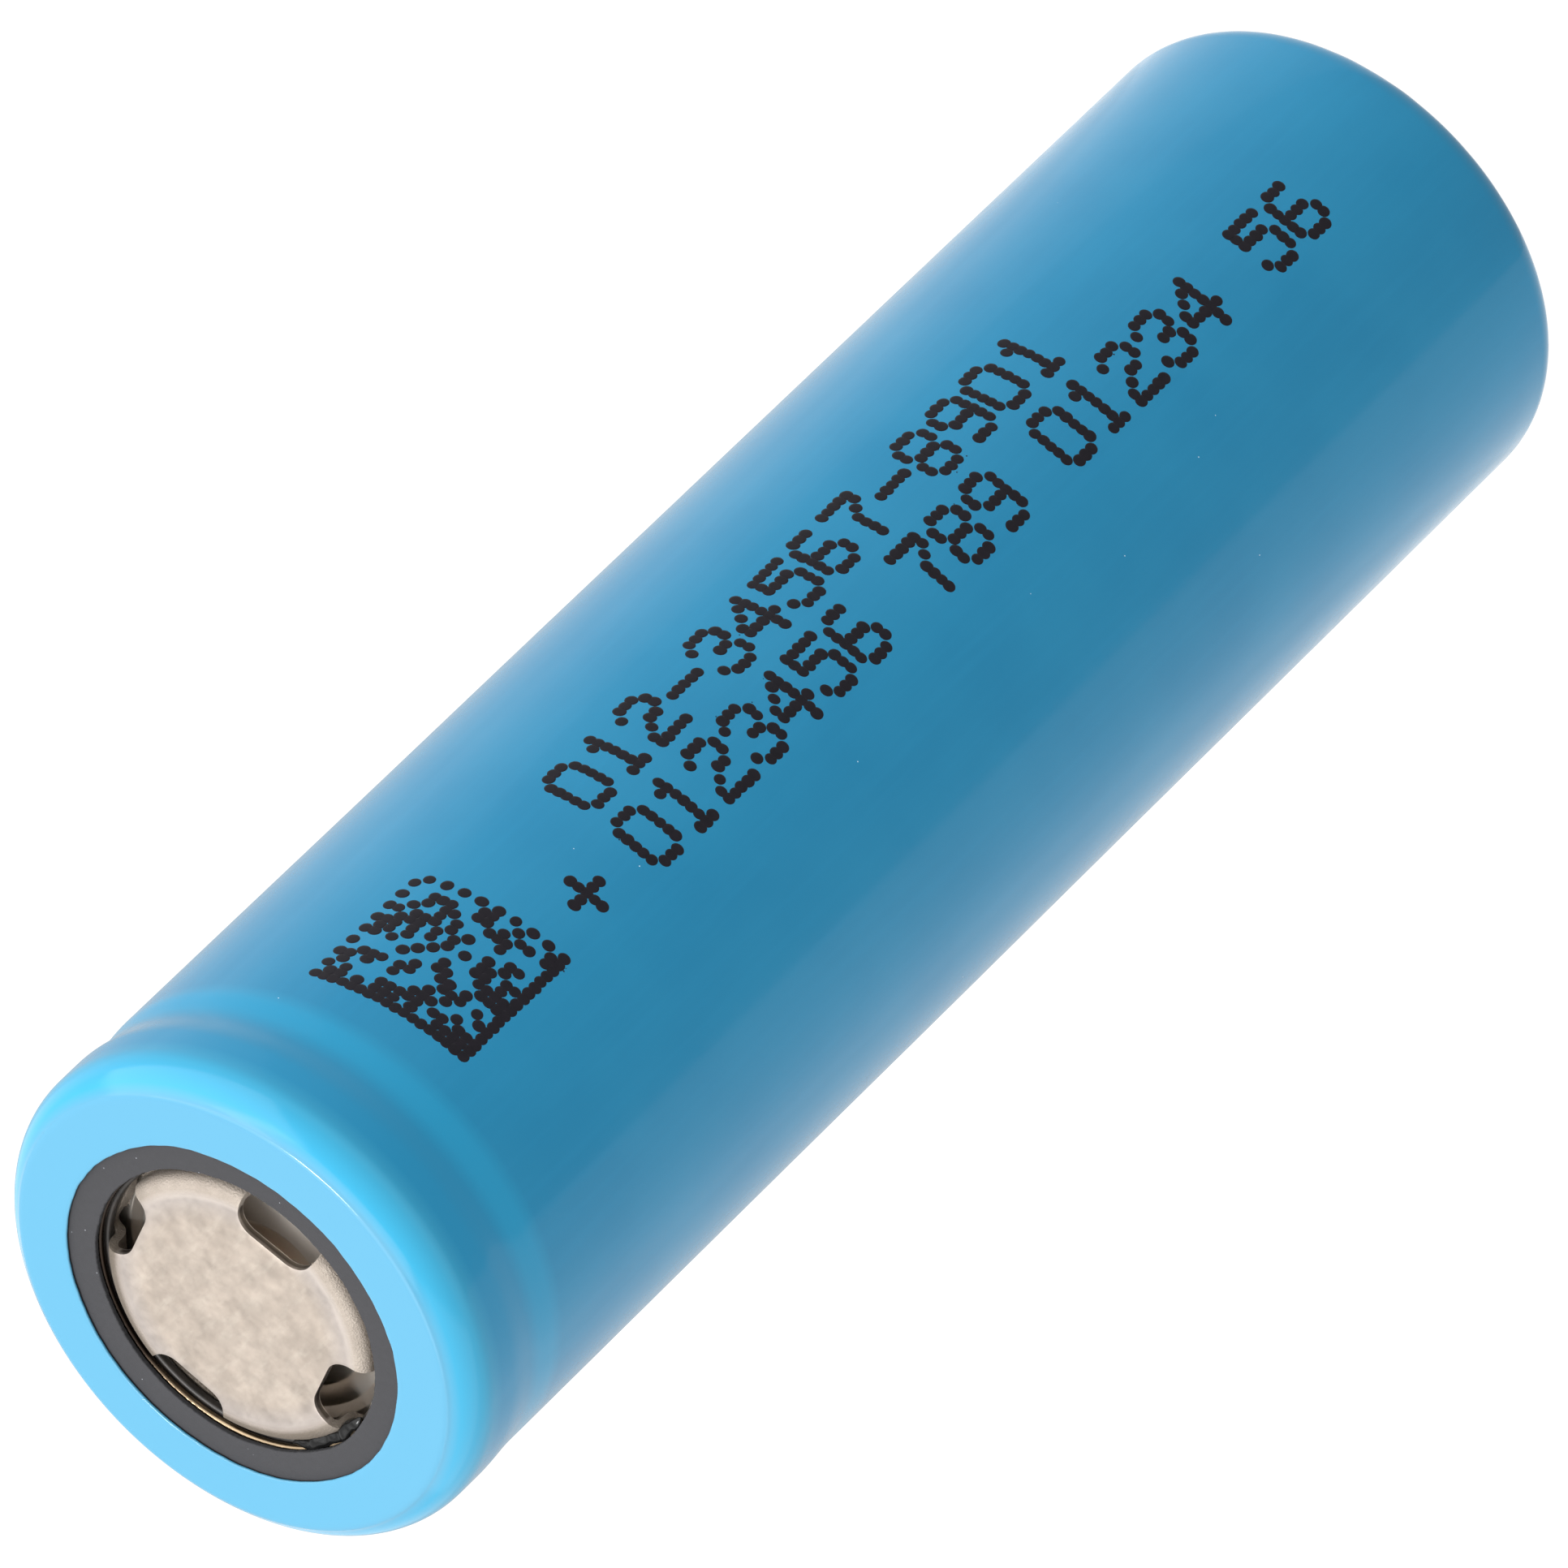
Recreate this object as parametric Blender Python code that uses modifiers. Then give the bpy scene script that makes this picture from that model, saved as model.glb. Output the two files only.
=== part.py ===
"""A cylindrical lithium-ion battery cell of the 18650 size, as separate pieces.

The cell stands on its negative end. +Z runs along its axis to the positive end, and the
origin is the centre of the negative end. All sizes below are in millimetres, and become
metres where a mesh is made. A profile is a list of (radius, height) points.
"""

import math

import bmesh
import bpy

MM = 0.001
SEGMENTS = 36  # flat sides of each turned piece
GAP = 0.03  # clearance between pieces that touch

# Whole cell
CELL_LENGTH = 65.2
BODY_RADIUS = 9.17
SHOULDER_RADIUS = 9.27

# Sleeve
SLEEVE_WALL = 0.12
TOP_LIP_RADIUS = 6.5
BOTTOM_LIP_RADIUS = 6.9
SLEEVE_SHOULDER = (1.15, 1.5)  # how far the rounded shoulder reaches in, and down
SLEEVE_BOTTOM_CORNER = (1.1, 1.2)
SLEEVE_DIP = 0.16

# Can
CAN_WALL = 0.25
CAN_RADIUS = BODY_RADIUS - SLEEVE_WALL - GAP
CAN_TOP_RADIUS = SHOULDER_RADIUS - SLEEVE_WALL - GAP
CAN_BOTTOM = SLEEVE_WALL + GAP
CAN_FLOOR = CAN_BOTTOM + CAN_WALL
CAN_BOTTOM_CORNER = (1.0, 1.0)
TERMINAL_RADIUS = 6.6  # the can's bottom stands a step lower here, inside the sleeve's lip
TERMINAL_STEP = 0.1
CRIMP_SHOULDER = (1.1, 1.2)
CRIMP_EDGE_RADIUS = 5.5
BEAD_CENTRE = 61.4
BEAD_HALF_WIDTH = 1.3
BEAD_DEPTH = 0.95

# Washer under the sleeve's top lip, and the crimp under the washer
WASHER_INNER_RADIUS = 5.45
WASHER_OUTER_RADIUS = 8.1
WASHER_THICKNESS = 0.2
WASHER_TOP = CELL_LENGTH - SLEEVE_WALL - GAP
CRIMP_TOP = WASHER_TOP - WASHER_THICKNESS - GAP

# Gasket and the stack of discs that it holds, from the top down
GASKET_LIP = 0.32
GASKET_LIP_RADIUS = 5.4
GASKET_FOOT_RADIUS = 6.9
GASKET_FOOT_LOWEST = 61.75
STACK_RADIUS = 8.0
CAP_SHEET = 0.3
CAP_BELOW_LIP = 0.13
CAP_TOP = CELL_LENGTH - CAP_BELOW_LIP
CAP_WALL_RADIUS = 5.18
CAP_CORNER = 0.5
CAP_FLANGE_TOP = CRIMP_TOP - CAN_WALL - GASKET_LIP - 2 * GAP
PTC_THICKNESS = 0.3
PTC_INNER_RADIUS = 5.6
PTC_TOP = CAP_FLANGE_TOP - CAP_SHEET - GAP
VENT_SHEET = 0.25
VENT_TOP = PTC_TOP - PTC_THICKNESS - GAP
VENT_STEP = 0.2
VENT_BUTTON_DEPTH = 0.23
VENT_BUTTON_RADIUS = 1.5
VENT_DISH_RADII = (2.4, 4.7)
VENT_RIM_RADIUS = 5.2
SPACER_THICKNESS = 0.4
SPACER_INNER_RADIUS = 6.4
SPACER_OUTER_RADIUS = 7.9
SPACER_TOP = VENT_TOP - VENT_SHEET - GAP
CONTACT_THICKNESS = 0.3
CONTACT_TOP = SPACER_TOP - SPACER_THICKNESS - GAP
CONTACT_HOLE_RADIUS = 0.8
CONTACT_HOLE_CIRCLE = 4.6
CONTACT_HOLE_COUNT = 6
CONTACT_HOLE_TURN = math.radians(17)
STACK_BOTTOM = CONTACT_TOP - CONTACT_THICKNESS

# Vent windows in the cap
WINDOW_COUNT = 4
WINDOW_TURN = math.radians(12.3)
WINDOW_INNER_EDGE = 3.65
WINDOW_INNER_HALF_WIDTH = 1.2
WINDOW_OUTER_HALF_WIDTH = 1.65
WINDOW_CORNER = 0.55
WINDOW_REACH = 6.5

# Wound electrodes: four layers to a turn, from the inside out
TURNS = 6
SAMPLES_PER_TURN = 18
ROLL_START_RADIUS = 1.6
FILM = 0.05
COATED_FOIL = 0.34
LAYER_GAP = 0.04
TURN_PITCH = 2 * (FILM + COATED_FOIL) + 4 * LAYER_GAP
FILM_SPAN = (0.9, 59.9)
ANODE_SPAN = (1.25, 59.5)
CATHODE_SPAN = (1.6, 59.1)
FILM_TURNS = (0, TURNS)
ANODE_TURNS = (0.25, TURNS)
CATHODE_TURNS = (0.5, TURNS - 0.5)

# Pieces round the roll
TAPE = 0.06
TAB = 0.1
POSITIVE_TAB_WIDTH = 2.4
POSITIVE_TAB_TURN = 3
POSITIVE_TAB_INSET = 0.08  # inside the middle of the cathode, which curves away from the flat tab
FOLD_RADIUS = 0.6
NEGATIVE_TAB_WIDTH = 3.5
NEGATIVE_TAB_TOP = 14.0
NEGATIVE_TAB_BEND = 0.3
TAB_END = 1.5  # how far from the axis a tab's welded end reaches
TAB_TAPE_LENGTH = 9.5
TAB_TAPE_SETBACK = 0.5
TAB_TAPE_OVERHANG = 0.5
TAB_CLEARANCE = 0.3
INSULATOR_THICKNESS = 0.2
UPPER_INSULATOR_BOTTOM = 60.0
INSULATOR_RADIUS = 8.3
FILL_HOLE_COUNT = 3
FILL_HOLE_CIRCLE = 5.6
FILL_HOLE_RADIUS = 1.0
FILL_HOLE_TURN = math.radians(60)
PIN_RADIUS = 1.25
PIN_WALL = 0.25
PIN_SLIT = 0.5
PIN_SPAN = (2.5, 58.0)
CLOSING_TAPE_SPAN = (17.0, 48.0)

CUT_MARGIN = 1.0  # how far a cutter reaches past what it cuts


def material(name, colour, roughness, metallic=0.0):
    """One plain material: colour as linear red, green and blue."""
    made = bpy.data.materials.new(name)
    made.use_nodes = True
    shader = made.node_tree.nodes["Principled BSDF"]
    shader.inputs["Base Color"].default_value = (*colour, 1.0)
    shader.inputs["Roughness"].default_value = roughness
    shader.inputs["Metallic"].default_value = metallic
    return made


def empty_scene():
    for old in list(bpy.data.objects):
        bpy.data.objects.remove(old)


def new_collection(name):
    made = bpy.data.collections.new(name)
    bpy.context.scene.collection.children.link(made)
    return made


def arc(centre, size, start, end, steps):
    """Points on an elliptical arc. Angles are in degrees: 0 points outward, 90 points up."""
    points = []
    for step in range(steps + 1):
        angle = math.radians(start + (end - start) * step / steps)
        points.append((centre[0] + size[0] * math.cos(angle), centre[1] + size[1] * math.sin(angle)))
    return points


def smoothstep(value):
    value = min(1.0, max(0.0, value))
    return value * value * (3 - 2 * value)


def right_of(start, end):
    """The unit normal on the right of the way from start to end."""
    across, up = end[0] - start[0], end[1] - start[1]
    length = math.hypot(across, up)
    return up / length, -across / length


def offset_path(path, distance):
    """The path moved to its right by a distance, with mitred corners."""
    sides = [right_of(a, b) for a, b in zip(path, path[1:])]
    moved = []
    for index, point in enumerate(path):
        before = sides[max(index - 1, 0)]
        after = sides[min(index, len(sides) - 1)]
        stretch = distance / (1 + before[0] * after[0] + before[1] * after[1])
        moved.append((point[0] + (before[0] + after[0]) * stretch, point[1] + (before[1] + after[1]) * stretch))
    return moved


def sheet_profile(path, thickness):
    """The outline of a sheet whose upper and outer side is the path."""
    return path + offset_path(path, thickness)[::-1]


def add_piece(name, mesh, finish):
    made = bpy.data.objects.new(name, mesh)
    mesh.materials.append(finish)
    bpy.data.collections["cylindrical_battery_cell"].objects.link(made)
    return made


def turned(name, profile, finish):
    """A piece turned about the Z axis. A profile that starts and ends on the axis is solid there."""
    open_ends = profile[0][0] == 0 and profile[-1][0] == 0
    mesh = bpy.data.meshes.new(name)
    corners = [(radius * MM, 0, height * MM) for radius, height in profile]
    edges = [(index, index + 1) for index in range(len(corners) - 1)]
    if not open_ends:
        edges.append((len(corners) - 1, 0))
    mesh.from_pydata(corners, edges, [])
    piece = add_piece(name, mesh, finish)
    screw = piece.modifiers.new("turn", "SCREW")
    screw.steps = SEGMENTS
    screw.render_steps = SEGMENTS
    screw.use_merge_vertices = True
    screw.merge_threshold = 1e-7
    screw.use_smooth_shade = True
    return piece


def ring(name, inner_radius, outer_radius, bottom, top, finish):
    profile = [(inner_radius, top), (outer_radius, top), (outer_radius, bottom), (inner_radius, bottom)]
    return turned(name, profile, finish)


def cutter(name, outline, bottom, top, turn=0.0):
    """A prism over an outline, turned about the Z axis, that only cuts other pieces."""
    shape = bmesh.new()
    corners = [shape.verts.new((x * MM, y * MM, bottom * MM)) for x, y in outline]
    floor = shape.faces.new(corners)
    raised = bmesh.ops.extrude_face_region(shape, geom=[floor])["geom"]
    lifted = [item for item in raised if isinstance(item, bmesh.types.BMVert)]
    bmesh.ops.translate(shape, verts=lifted, vec=(0, 0, (top - bottom) * MM))
    bmesh.ops.recalc_face_normals(shape, faces=shape.faces)
    mesh = bpy.data.meshes.new(name)
    shape.to_mesh(mesh)
    shape.free()
    made = bpy.data.objects.new(name, mesh)
    made.rotation_euler.z = turn
    made.hide_render = True
    made.display_type = "WIRE"
    bpy.data.collections["cutters"].objects.link(made)
    return made


def cut(piece, tool):
    boolean = piece.modifiers.new(tool.name, "BOOLEAN")
    boolean.operation = "DIFFERENCE"
    boolean.solver = "EXACT"
    boolean.object = tool


def circle(x, y, radius, steps=12):
    return arc((x, y), (radius, radius), 0, 360 - 360 / steps, steps - 1)


def box_outline(low_x, high_x, half_width):
    return [(low_x, -half_width), (high_x, -half_width), (high_x, half_width), (low_x, half_width)]


def ribbon(name, path, width, thickness, finish):
    """A strip that follows a path of (x, z) points, with its width along Y."""
    half = width * MM / 2
    corners = [(x * MM, side, z * MM) for side in (-half, half) for x, z in path]
    count = len(path)
    faces = [(i, i + 1, count + i + 1, count + i) for i in range(count - 1)]
    mesh = bpy.data.meshes.new(name)
    mesh.from_pydata(corners, [], faces)
    piece = add_piece(name, mesh, finish)
    thicken(piece, thickness)
    return piece


def thicken(piece, thickness):
    solid = piece.modifiers.new("thickness", "SOLIDIFY")
    solid.thickness = thickness * MM
    solid.offset = 0
    solid.use_even_offset = True


def spiral_radius(turn, depth):
    """Radius of a layer's middle. depth is how far it lies outside the turn's first face."""
    return ROLL_START_RADIUS + TURN_PITCH * turn + depth


def wound_sheet(name, depth, thickness, span, turns, finish):
    """A sheet wound from one turn number to another, from span[0] to span[1] in height."""
    first = round(turns[0] * SAMPLES_PER_TURN)
    last = round(turns[1] * SAMPLES_PER_TURN)
    corners = []
    for height in span:
        for sample in range(first, last + 1):
            turn = sample / SAMPLES_PER_TURN
            angle = 2 * math.pi * turn
            radius = spiral_radius(turn, depth) * MM
            corners.append((radius * math.cos(angle), radius * math.sin(angle), height * MM))
    count = last - first + 1
    faces = [(i, i + 1, count + i + 1, count + i) for i in range(count - 1)]
    mesh = bpy.data.meshes.new(name)
    mesh.from_pydata(corners, [], faces)
    piece = add_piece(name, mesh, finish)
    thicken(piece, thickness)
    return piece


def wall_radius(height, lower, upper, depth):
    """Radius of a wall that runs over the rolled bead, from its lower to its upper radius."""
    from_centre = (height - BEAD_CENTRE) / BEAD_HALF_WIDTH
    base = lower + (upper - lower) * smoothstep((from_centre + 1) / 2)
    if abs(from_centre) >= 1:
        return base
    return base - depth * math.cos(from_centre * math.pi / 2) ** 2


def bead_path(lower, upper, depth, steps):
    """Points down the wall across the bead."""
    points = []
    for step in range(steps + 1):
        height = BEAD_CENTRE + BEAD_HALF_WIDTH * (1 - 2 * step / steps)
        points.append((wall_radius(height, lower, upper, depth), height))
    return points


def sleeve(finish):
    top, bottom = SLEEVE_SHOULDER, SLEEVE_BOTTOM_CORNER
    path = [(TOP_LIP_RADIUS, CELL_LENGTH)]
    path += arc((SHOULDER_RADIUS - top[0], CELL_LENGTH - top[1]), top, 90, 0, 4)
    path += bead_path(BODY_RADIUS, SHOULDER_RADIUS, SLEEVE_DIP, 6)
    path += arc((BODY_RADIUS - bottom[0], bottom[1]), bottom, 0, -90, 3)
    path += [(BOTTOM_LIP_RADIUS, 0)]
    return turned("sleeve", sheet_profile(path, SLEEVE_WALL), finish)


def can_outside():
    """The can's outer side, from the crimp's cut edge to the middle of the bottom."""
    top, bottom = CRIMP_SHOULDER, CAN_BOTTOM_CORNER
    path = [(CRIMP_EDGE_RADIUS, CRIMP_TOP)]
    path += arc((CAN_TOP_RADIUS - top[0], CRIMP_TOP - top[1]), top, 90, 0, 4)
    path += bead_path(CAN_RADIUS, CAN_TOP_RADIUS, BEAD_DEPTH, 10)
    path += arc((CAN_RADIUS - bottom[0], CAN_BOTTOM + bottom[1]), bottom, 0, -90, 3)
    terminal = CAN_BOTTOM - TERMINAL_STEP
    path += [(TERMINAL_RADIUS + TERMINAL_STEP, CAN_BOTTOM), (TERMINAL_RADIUS, terminal), (0, terminal)]
    return path


def can(finish):
    outside = can_outside()
    inside = offset_path(outside, CAN_WALL)
    return turned("can", inside[::-1] + outside, finish)


def washer(finish):
    bottom = WASHER_TOP - WASHER_THICKNESS
    return ring("top_washer", WASHER_INNER_RADIUS, WASHER_OUTER_RADIUS, bottom, WASHER_TOP, finish)


def gasket(finish):
    """Follows the inside of the can from the crimp to the bead, and holds the stack of discs."""
    inside_can = offset_path(can_outside(), CAN_WALL + GAP)
    outside = [point for point in inside_can if point[1] > GASKET_FOOT_LOWEST]
    outside[0] = (GASKET_LIP_RADIUS, outside[0][1])
    seat = STACK_RADIUS + GAP
    foot_top = STACK_BOTTOM - GAP
    lip_bottom = CAP_FLANGE_TOP + GAP
    profile = outside + [
        (GASKET_FOOT_RADIUS, outside[-1][1]),
        (GASKET_FOOT_RADIUS, foot_top),
        (seat, foot_top),
        (seat, lip_bottom),
        (GASKET_LIP_RADIUS, lip_bottom),
    ]
    return turned("gasket", profile, finish)


def window_outline():
    """One vent window, as if it faced along +X: narrow at its inner edge, and open outward."""
    corner = (WINDOW_CORNER, WINDOW_CORNER)
    middle = (WINDOW_INNER_EDGE + WINDOW_CORNER, WINDOW_INNER_HALF_WIDTH - WINDOW_CORNER)
    outline = [(WINDOW_REACH, -WINDOW_OUTER_HALF_WIDTH), (WINDOW_REACH, WINDOW_OUTER_HALF_WIDTH)]
    outline += [(CAP_WALL_RADIUS - CAP_CORNER, WINDOW_OUTER_HALF_WIDTH)]
    outline += arc(middle, corner, 110, 180, 3)
    outline += [(x, -y) for x, y in arc(middle, corner, 180, 110, 3)]
    outline += [(CAP_WALL_RADIUS - CAP_CORNER, -WINDOW_OUTER_HALF_WIDTH)]
    return outline


def top_cap(finish):
    corner = (CAP_CORNER, CAP_CORNER)
    foot = CAP_FLANGE_TOP + CAP_SHEET / 2
    path = [(0, CAP_TOP)]
    path += arc((CAP_WALL_RADIUS - CAP_CORNER, CAP_TOP - CAP_CORNER), corner, 90, 0, 3)
    path += [(CAP_WALL_RADIUS, foot), (CAP_WALL_RADIUS + CAP_SHEET / 2, CAP_FLANGE_TOP)]
    path += [(STACK_RADIUS, CAP_FLANGE_TOP)]
    piece = turned("top_cap", sheet_profile(path, CAP_SHEET), finish)
    for number in range(WINDOW_COUNT):
        turn = WINDOW_TURN + number * 2 * math.pi / WINDOW_COUNT
        cut(piece, cutter(f"window_{number + 1}", window_outline(), foot, CAP_TOP + CUT_MARGIN, turn))
    return piece


def ptc_ring(finish):
    return ring("ptc_ring", PTC_INNER_RADIUS, STACK_RADIUS, PTC_TOP - PTC_THICKNESS, PTC_TOP, finish)


def vent_disc(finish):
    """A thin disc that steps down to a button in the middle, where it meets the contact plate."""
    dish = VENT_TOP - VENT_STEP
    button = dish - VENT_BUTTON_DEPTH
    path = [(0, button), (VENT_BUTTON_RADIUS, button)]
    path += [(radius, dish) for radius in VENT_DISH_RADII]
    path += [(VENT_RIM_RADIUS, VENT_TOP), (STACK_RADIUS, VENT_TOP)]
    return turned("vent_disc", sheet_profile(path, VENT_SHEET), finish)


def vent_insulator(finish):
    bottom = SPACER_TOP - SPACER_THICKNESS
    return ring("vent_insulator", SPACER_INNER_RADIUS, SPACER_OUTER_RADIUS, bottom, SPACER_TOP, finish)


def disc_profile(radius, bottom, top):
    return [(0, top), (radius, top), (radius, bottom), (0, bottom)]


def ring_of_holes(piece, name, count, circle_radius, hole_radius, span, first):
    """Round holes through a piece, on a circle about the Z axis, from the turn of the first."""
    for number in range(count):
        turn = first + 2 * math.pi * number / count
        cut(piece, cutter(f"{name}_{number + 1}", circle(circle_radius, 0, hole_radius), *span, turn))


def contact_plate(finish):
    piece = turned("contact_plate", disc_profile(SPACER_OUTER_RADIUS, STACK_BOTTOM, CONTACT_TOP), finish)
    span = (STACK_BOTTOM - CUT_MARGIN, CONTACT_TOP + CUT_MARGIN)
    sizes = (CONTACT_HOLE_COUNT, CONTACT_HOLE_CIRCLE, CONTACT_HOLE_RADIUS)
    ring_of_holes(piece, "contact_hole", *sizes, span, CONTACT_HOLE_TURN)
    return piece


def positive_tab_place():
    """Where the tab stands: on the cathode's turn, a little inside its middle."""
    return spiral_radius(POSITIVE_TAB_TURN, FILM + LAYER_GAP + COATED_FOIL / 2) - POSITIVE_TAB_INSET


def positive_tab(finish):
    """Up from the cathode's edge, across the cell, and folded back under the contact plate."""
    x = positive_tab_place()
    weld = STACK_BOTTOM - GAP - TAB / 2
    run = weld - 2 * FOLD_RADIUS
    bend = (FOLD_RADIUS / 2, FOLD_RADIUS / 2)
    fold = (FOLD_RADIUS, FOLD_RADIUS)
    path = [(x, CATHODE_SPAN[1] + GAP)]
    path += arc((x - bend[0], run - bend[1]), bend, 0, 90, 3)
    path += arc((-x + FOLD_RADIUS, weld - FOLD_RADIUS), fold, -90, -270, 6)
    path += [(TAB_END, weld)]
    return ribbon("positive_tab", path, POSITIVE_TAB_WIDTH, TAB, finish)


def positive_tab_tape(finish):
    """Tape on the underside of the tab's run across the roll."""
    x = positive_tab_place() - FOLD_RADIUS
    run = STACK_BOTTOM - 2 * GAP - TAB - 2 * FOLD_RADIUS - TAPE / 2
    width = POSITIVE_TAB_WIDTH + 2 * TAB_TAPE_OVERHANG
    return ribbon("positive_tab_tape", [(-x, run), (x, run)], width, TAPE, finish)


def upper_insulator(finish):
    top = UPPER_INSULATOR_BOTTOM + INSULATOR_THICKNESS
    piece = ring("upper_insulator", PIN_RADIUS, INSULATOR_RADIUS, UPPER_INSULATOR_BOTTOM, top, finish)
    x = positive_tab_place()
    reach = TAB + TAB_CLEARANCE
    slot = box_outline(x - reach, x + reach, POSITIVE_TAB_WIDTH / 2 + TAB_CLEARANCE)
    span = (UPPER_INSULATOR_BOTTOM - CUT_MARGIN, top + CUT_MARGIN)
    cut(piece, cutter("tab_slot", slot, *span))
    sizes = (FILL_HOLE_COUNT, FILL_HOLE_CIRCLE, FILL_HOLE_RADIUS)
    ring_of_holes(piece, "fill_hole", *sizes, span, FILL_HOLE_TURN)
    return piece


def lower_insulator(finish):
    bottom = CAN_FLOOR + TAB + 2 * GAP
    top = bottom + INSULATOR_THICKNESS
    piece = ring("lower_insulator", PIN_RADIUS, INSULATOR_RADIUS, bottom, top, finish)
    inner = NEGATIVE_TAB_BEND - negative_tab_place()
    half_width = NEGATIVE_TAB_WIDTH / 2 + TAB_CLEARANCE
    notch = box_outline(-INSULATOR_RADIUS - CUT_MARGIN, inner, half_width)
    cut(piece, cutter("tab_notch", notch, bottom - CUT_MARGIN, top + CUT_MARGIN))
    return piece


def center_pin(finish):
    piece = ring("center_pin", PIN_RADIUS - PIN_WALL, PIN_RADIUS, *PIN_SPAN, finish)
    slit = box_outline(0, PIN_RADIUS + CUT_MARGIN, PIN_SLIT / 2)
    cut(piece, cutter("pin_slit", slit, PIN_SPAN[0] - CUT_MARGIN, PIN_SPAN[1] + CUT_MARGIN))
    return piece


def electrode_roll(finishes):
    """Film, cathode, film and anode, wound together."""
    step = FILM + LAYER_GAP
    cathode_depth = step + COATED_FOIL / 2
    outer_film_depth = step + COATED_FOIL + LAYER_GAP + FILM / 2
    anode_depth = 2 * step + COATED_FOIL + LAYER_GAP + COATED_FOIL / 2
    wound_sheet("separator_inner", FILM / 2, FILM, FILM_SPAN, FILM_TURNS, finishes["film"])
    wound_sheet("cathode", cathode_depth, COATED_FOIL, CATHODE_SPAN, CATHODE_TURNS, finishes["cathode"])
    wound_sheet("separator_outer", outer_film_depth, FILM, FILM_SPAN, FILM_TURNS, finishes["film"])
    wound_sheet("anode", anode_depth, COATED_FOIL, ANODE_SPAN, ANODE_TURNS, finishes["anode"])


def roll_radius(turn):
    """Radius of the anode's outer face, which is the outside of the roll."""
    return spiral_radius(turn, TURN_PITCH - LAYER_GAP)


def closing_tape(finish):
    inner = roll_radius(TURNS) + LAYER_GAP
    return ring("closing_tape", inner, inner + TAPE, *CLOSING_TAPE_SPAN, finish)


def negative_tab_place():
    """How far from the axis the tab stands, on the -X side, half a turn before the roll ends."""
    return roll_radius(TURNS - 0.5) + GAP + TAB / 2


def negative_tab(finish):
    """Down the outside of the roll, and inward along the can's floor to its middle."""
    x = -negative_tab_place()
    floor = CAN_FLOOR + GAP + TAB / 2
    bend = NEGATIVE_TAB_BEND
    path = [(x, NEGATIVE_TAB_TOP)]
    path += arc((x + bend, floor + bend), (bend, bend), 180, 270, 3)
    path += [(TAB_END, floor)]
    return ribbon("negative_tab", path, NEGATIVE_TAB_WIDTH, TAB, finish)


def negative_tab_tape(finish):
    x = -(negative_tab_place() + TAB / 2 + GAP + TAPE / 2)
    top = NEGATIVE_TAB_TOP - TAB_TAPE_SETBACK
    path = [(x, top), (x, top - TAB_TAPE_LENGTH)]
    return ribbon("negative_tab_tape", path, NEGATIVE_TAB_WIDTH, TAPE, finish)


def main():
    empty_scene()
    new_collection("cylindrical_battery_cell")
    new_collection("cutters")
    steel = material("nickel_plated_steel", (0.62, 0.60, 0.56), 0.3, 1.0)
    tape = material("polyimide_tape", (0.75, 0.45, 0.08), 0.35)
    fibre = material("insulating_paper", (0.80, 0.78, 0.70), 0.8)
    sleeve(material("blue_shrink_film", (0.02, 0.32, 0.62), 0.3))
    washer(material("grey_fibre", (0.09, 0.10, 0.11), 0.85))
    can(steel)
    gasket(material("black_gasket", (0.02, 0.02, 0.02), 0.4))
    top_cap(material("cap_nickel", (0.70, 0.64, 0.56), 0.4, 1.0))
    ptc_ring(material("carbon_polymer", (0.05, 0.05, 0.05), 0.6))
    aluminium = material("aluminium", (0.78, 0.79, 0.80), 0.35, 1.0)
    vent_disc(aluminium)
    vent_insulator(material("white_polymer", (0.85, 0.85, 0.82), 0.5))
    contact_plate(aluminium)
    positive_tab(aluminium)
    positive_tab_tape(tape)
    upper_insulator(fibre)
    center_pin(steel)
    electrode_roll({
        "film": material("porous_film", (0.90, 0.90, 0.88), 0.6),
        "cathode": material("cathode_coating", (0.03, 0.03, 0.035), 0.7),
        "anode": material("anode_coating", (0.05, 0.045, 0.04), 0.75),
    })
    closing_tape(tape)
    negative_tab(material("nickel_strip", (0.66, 0.63, 0.57), 0.3, 1.0))
    negative_tab_tape(tape)
    lower_insulator(fibre)


main()
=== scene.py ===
"""Looks of a cylindrical battery cell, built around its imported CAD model.

The cell stands on its negative end in the CAD's own frame: +Z runs up its axis to the
positive end. Sizes in this script are in millimetres, and become metres where meshes,
lights and the camera are made. Colours are linear red, green and blue.
"""

import math
import random

import bmesh
import bpy
import numpy as np
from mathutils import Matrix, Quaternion, Vector, geometry, noise


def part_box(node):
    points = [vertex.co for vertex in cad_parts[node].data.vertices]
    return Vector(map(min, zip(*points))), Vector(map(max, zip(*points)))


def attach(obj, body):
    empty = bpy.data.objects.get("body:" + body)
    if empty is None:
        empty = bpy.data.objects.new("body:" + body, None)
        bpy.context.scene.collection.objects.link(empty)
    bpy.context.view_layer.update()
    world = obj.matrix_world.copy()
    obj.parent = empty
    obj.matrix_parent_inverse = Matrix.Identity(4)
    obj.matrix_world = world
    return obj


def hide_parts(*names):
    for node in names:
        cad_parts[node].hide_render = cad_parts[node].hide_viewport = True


MM = 0.001
BODY = "root"
SEED = 18

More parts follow.
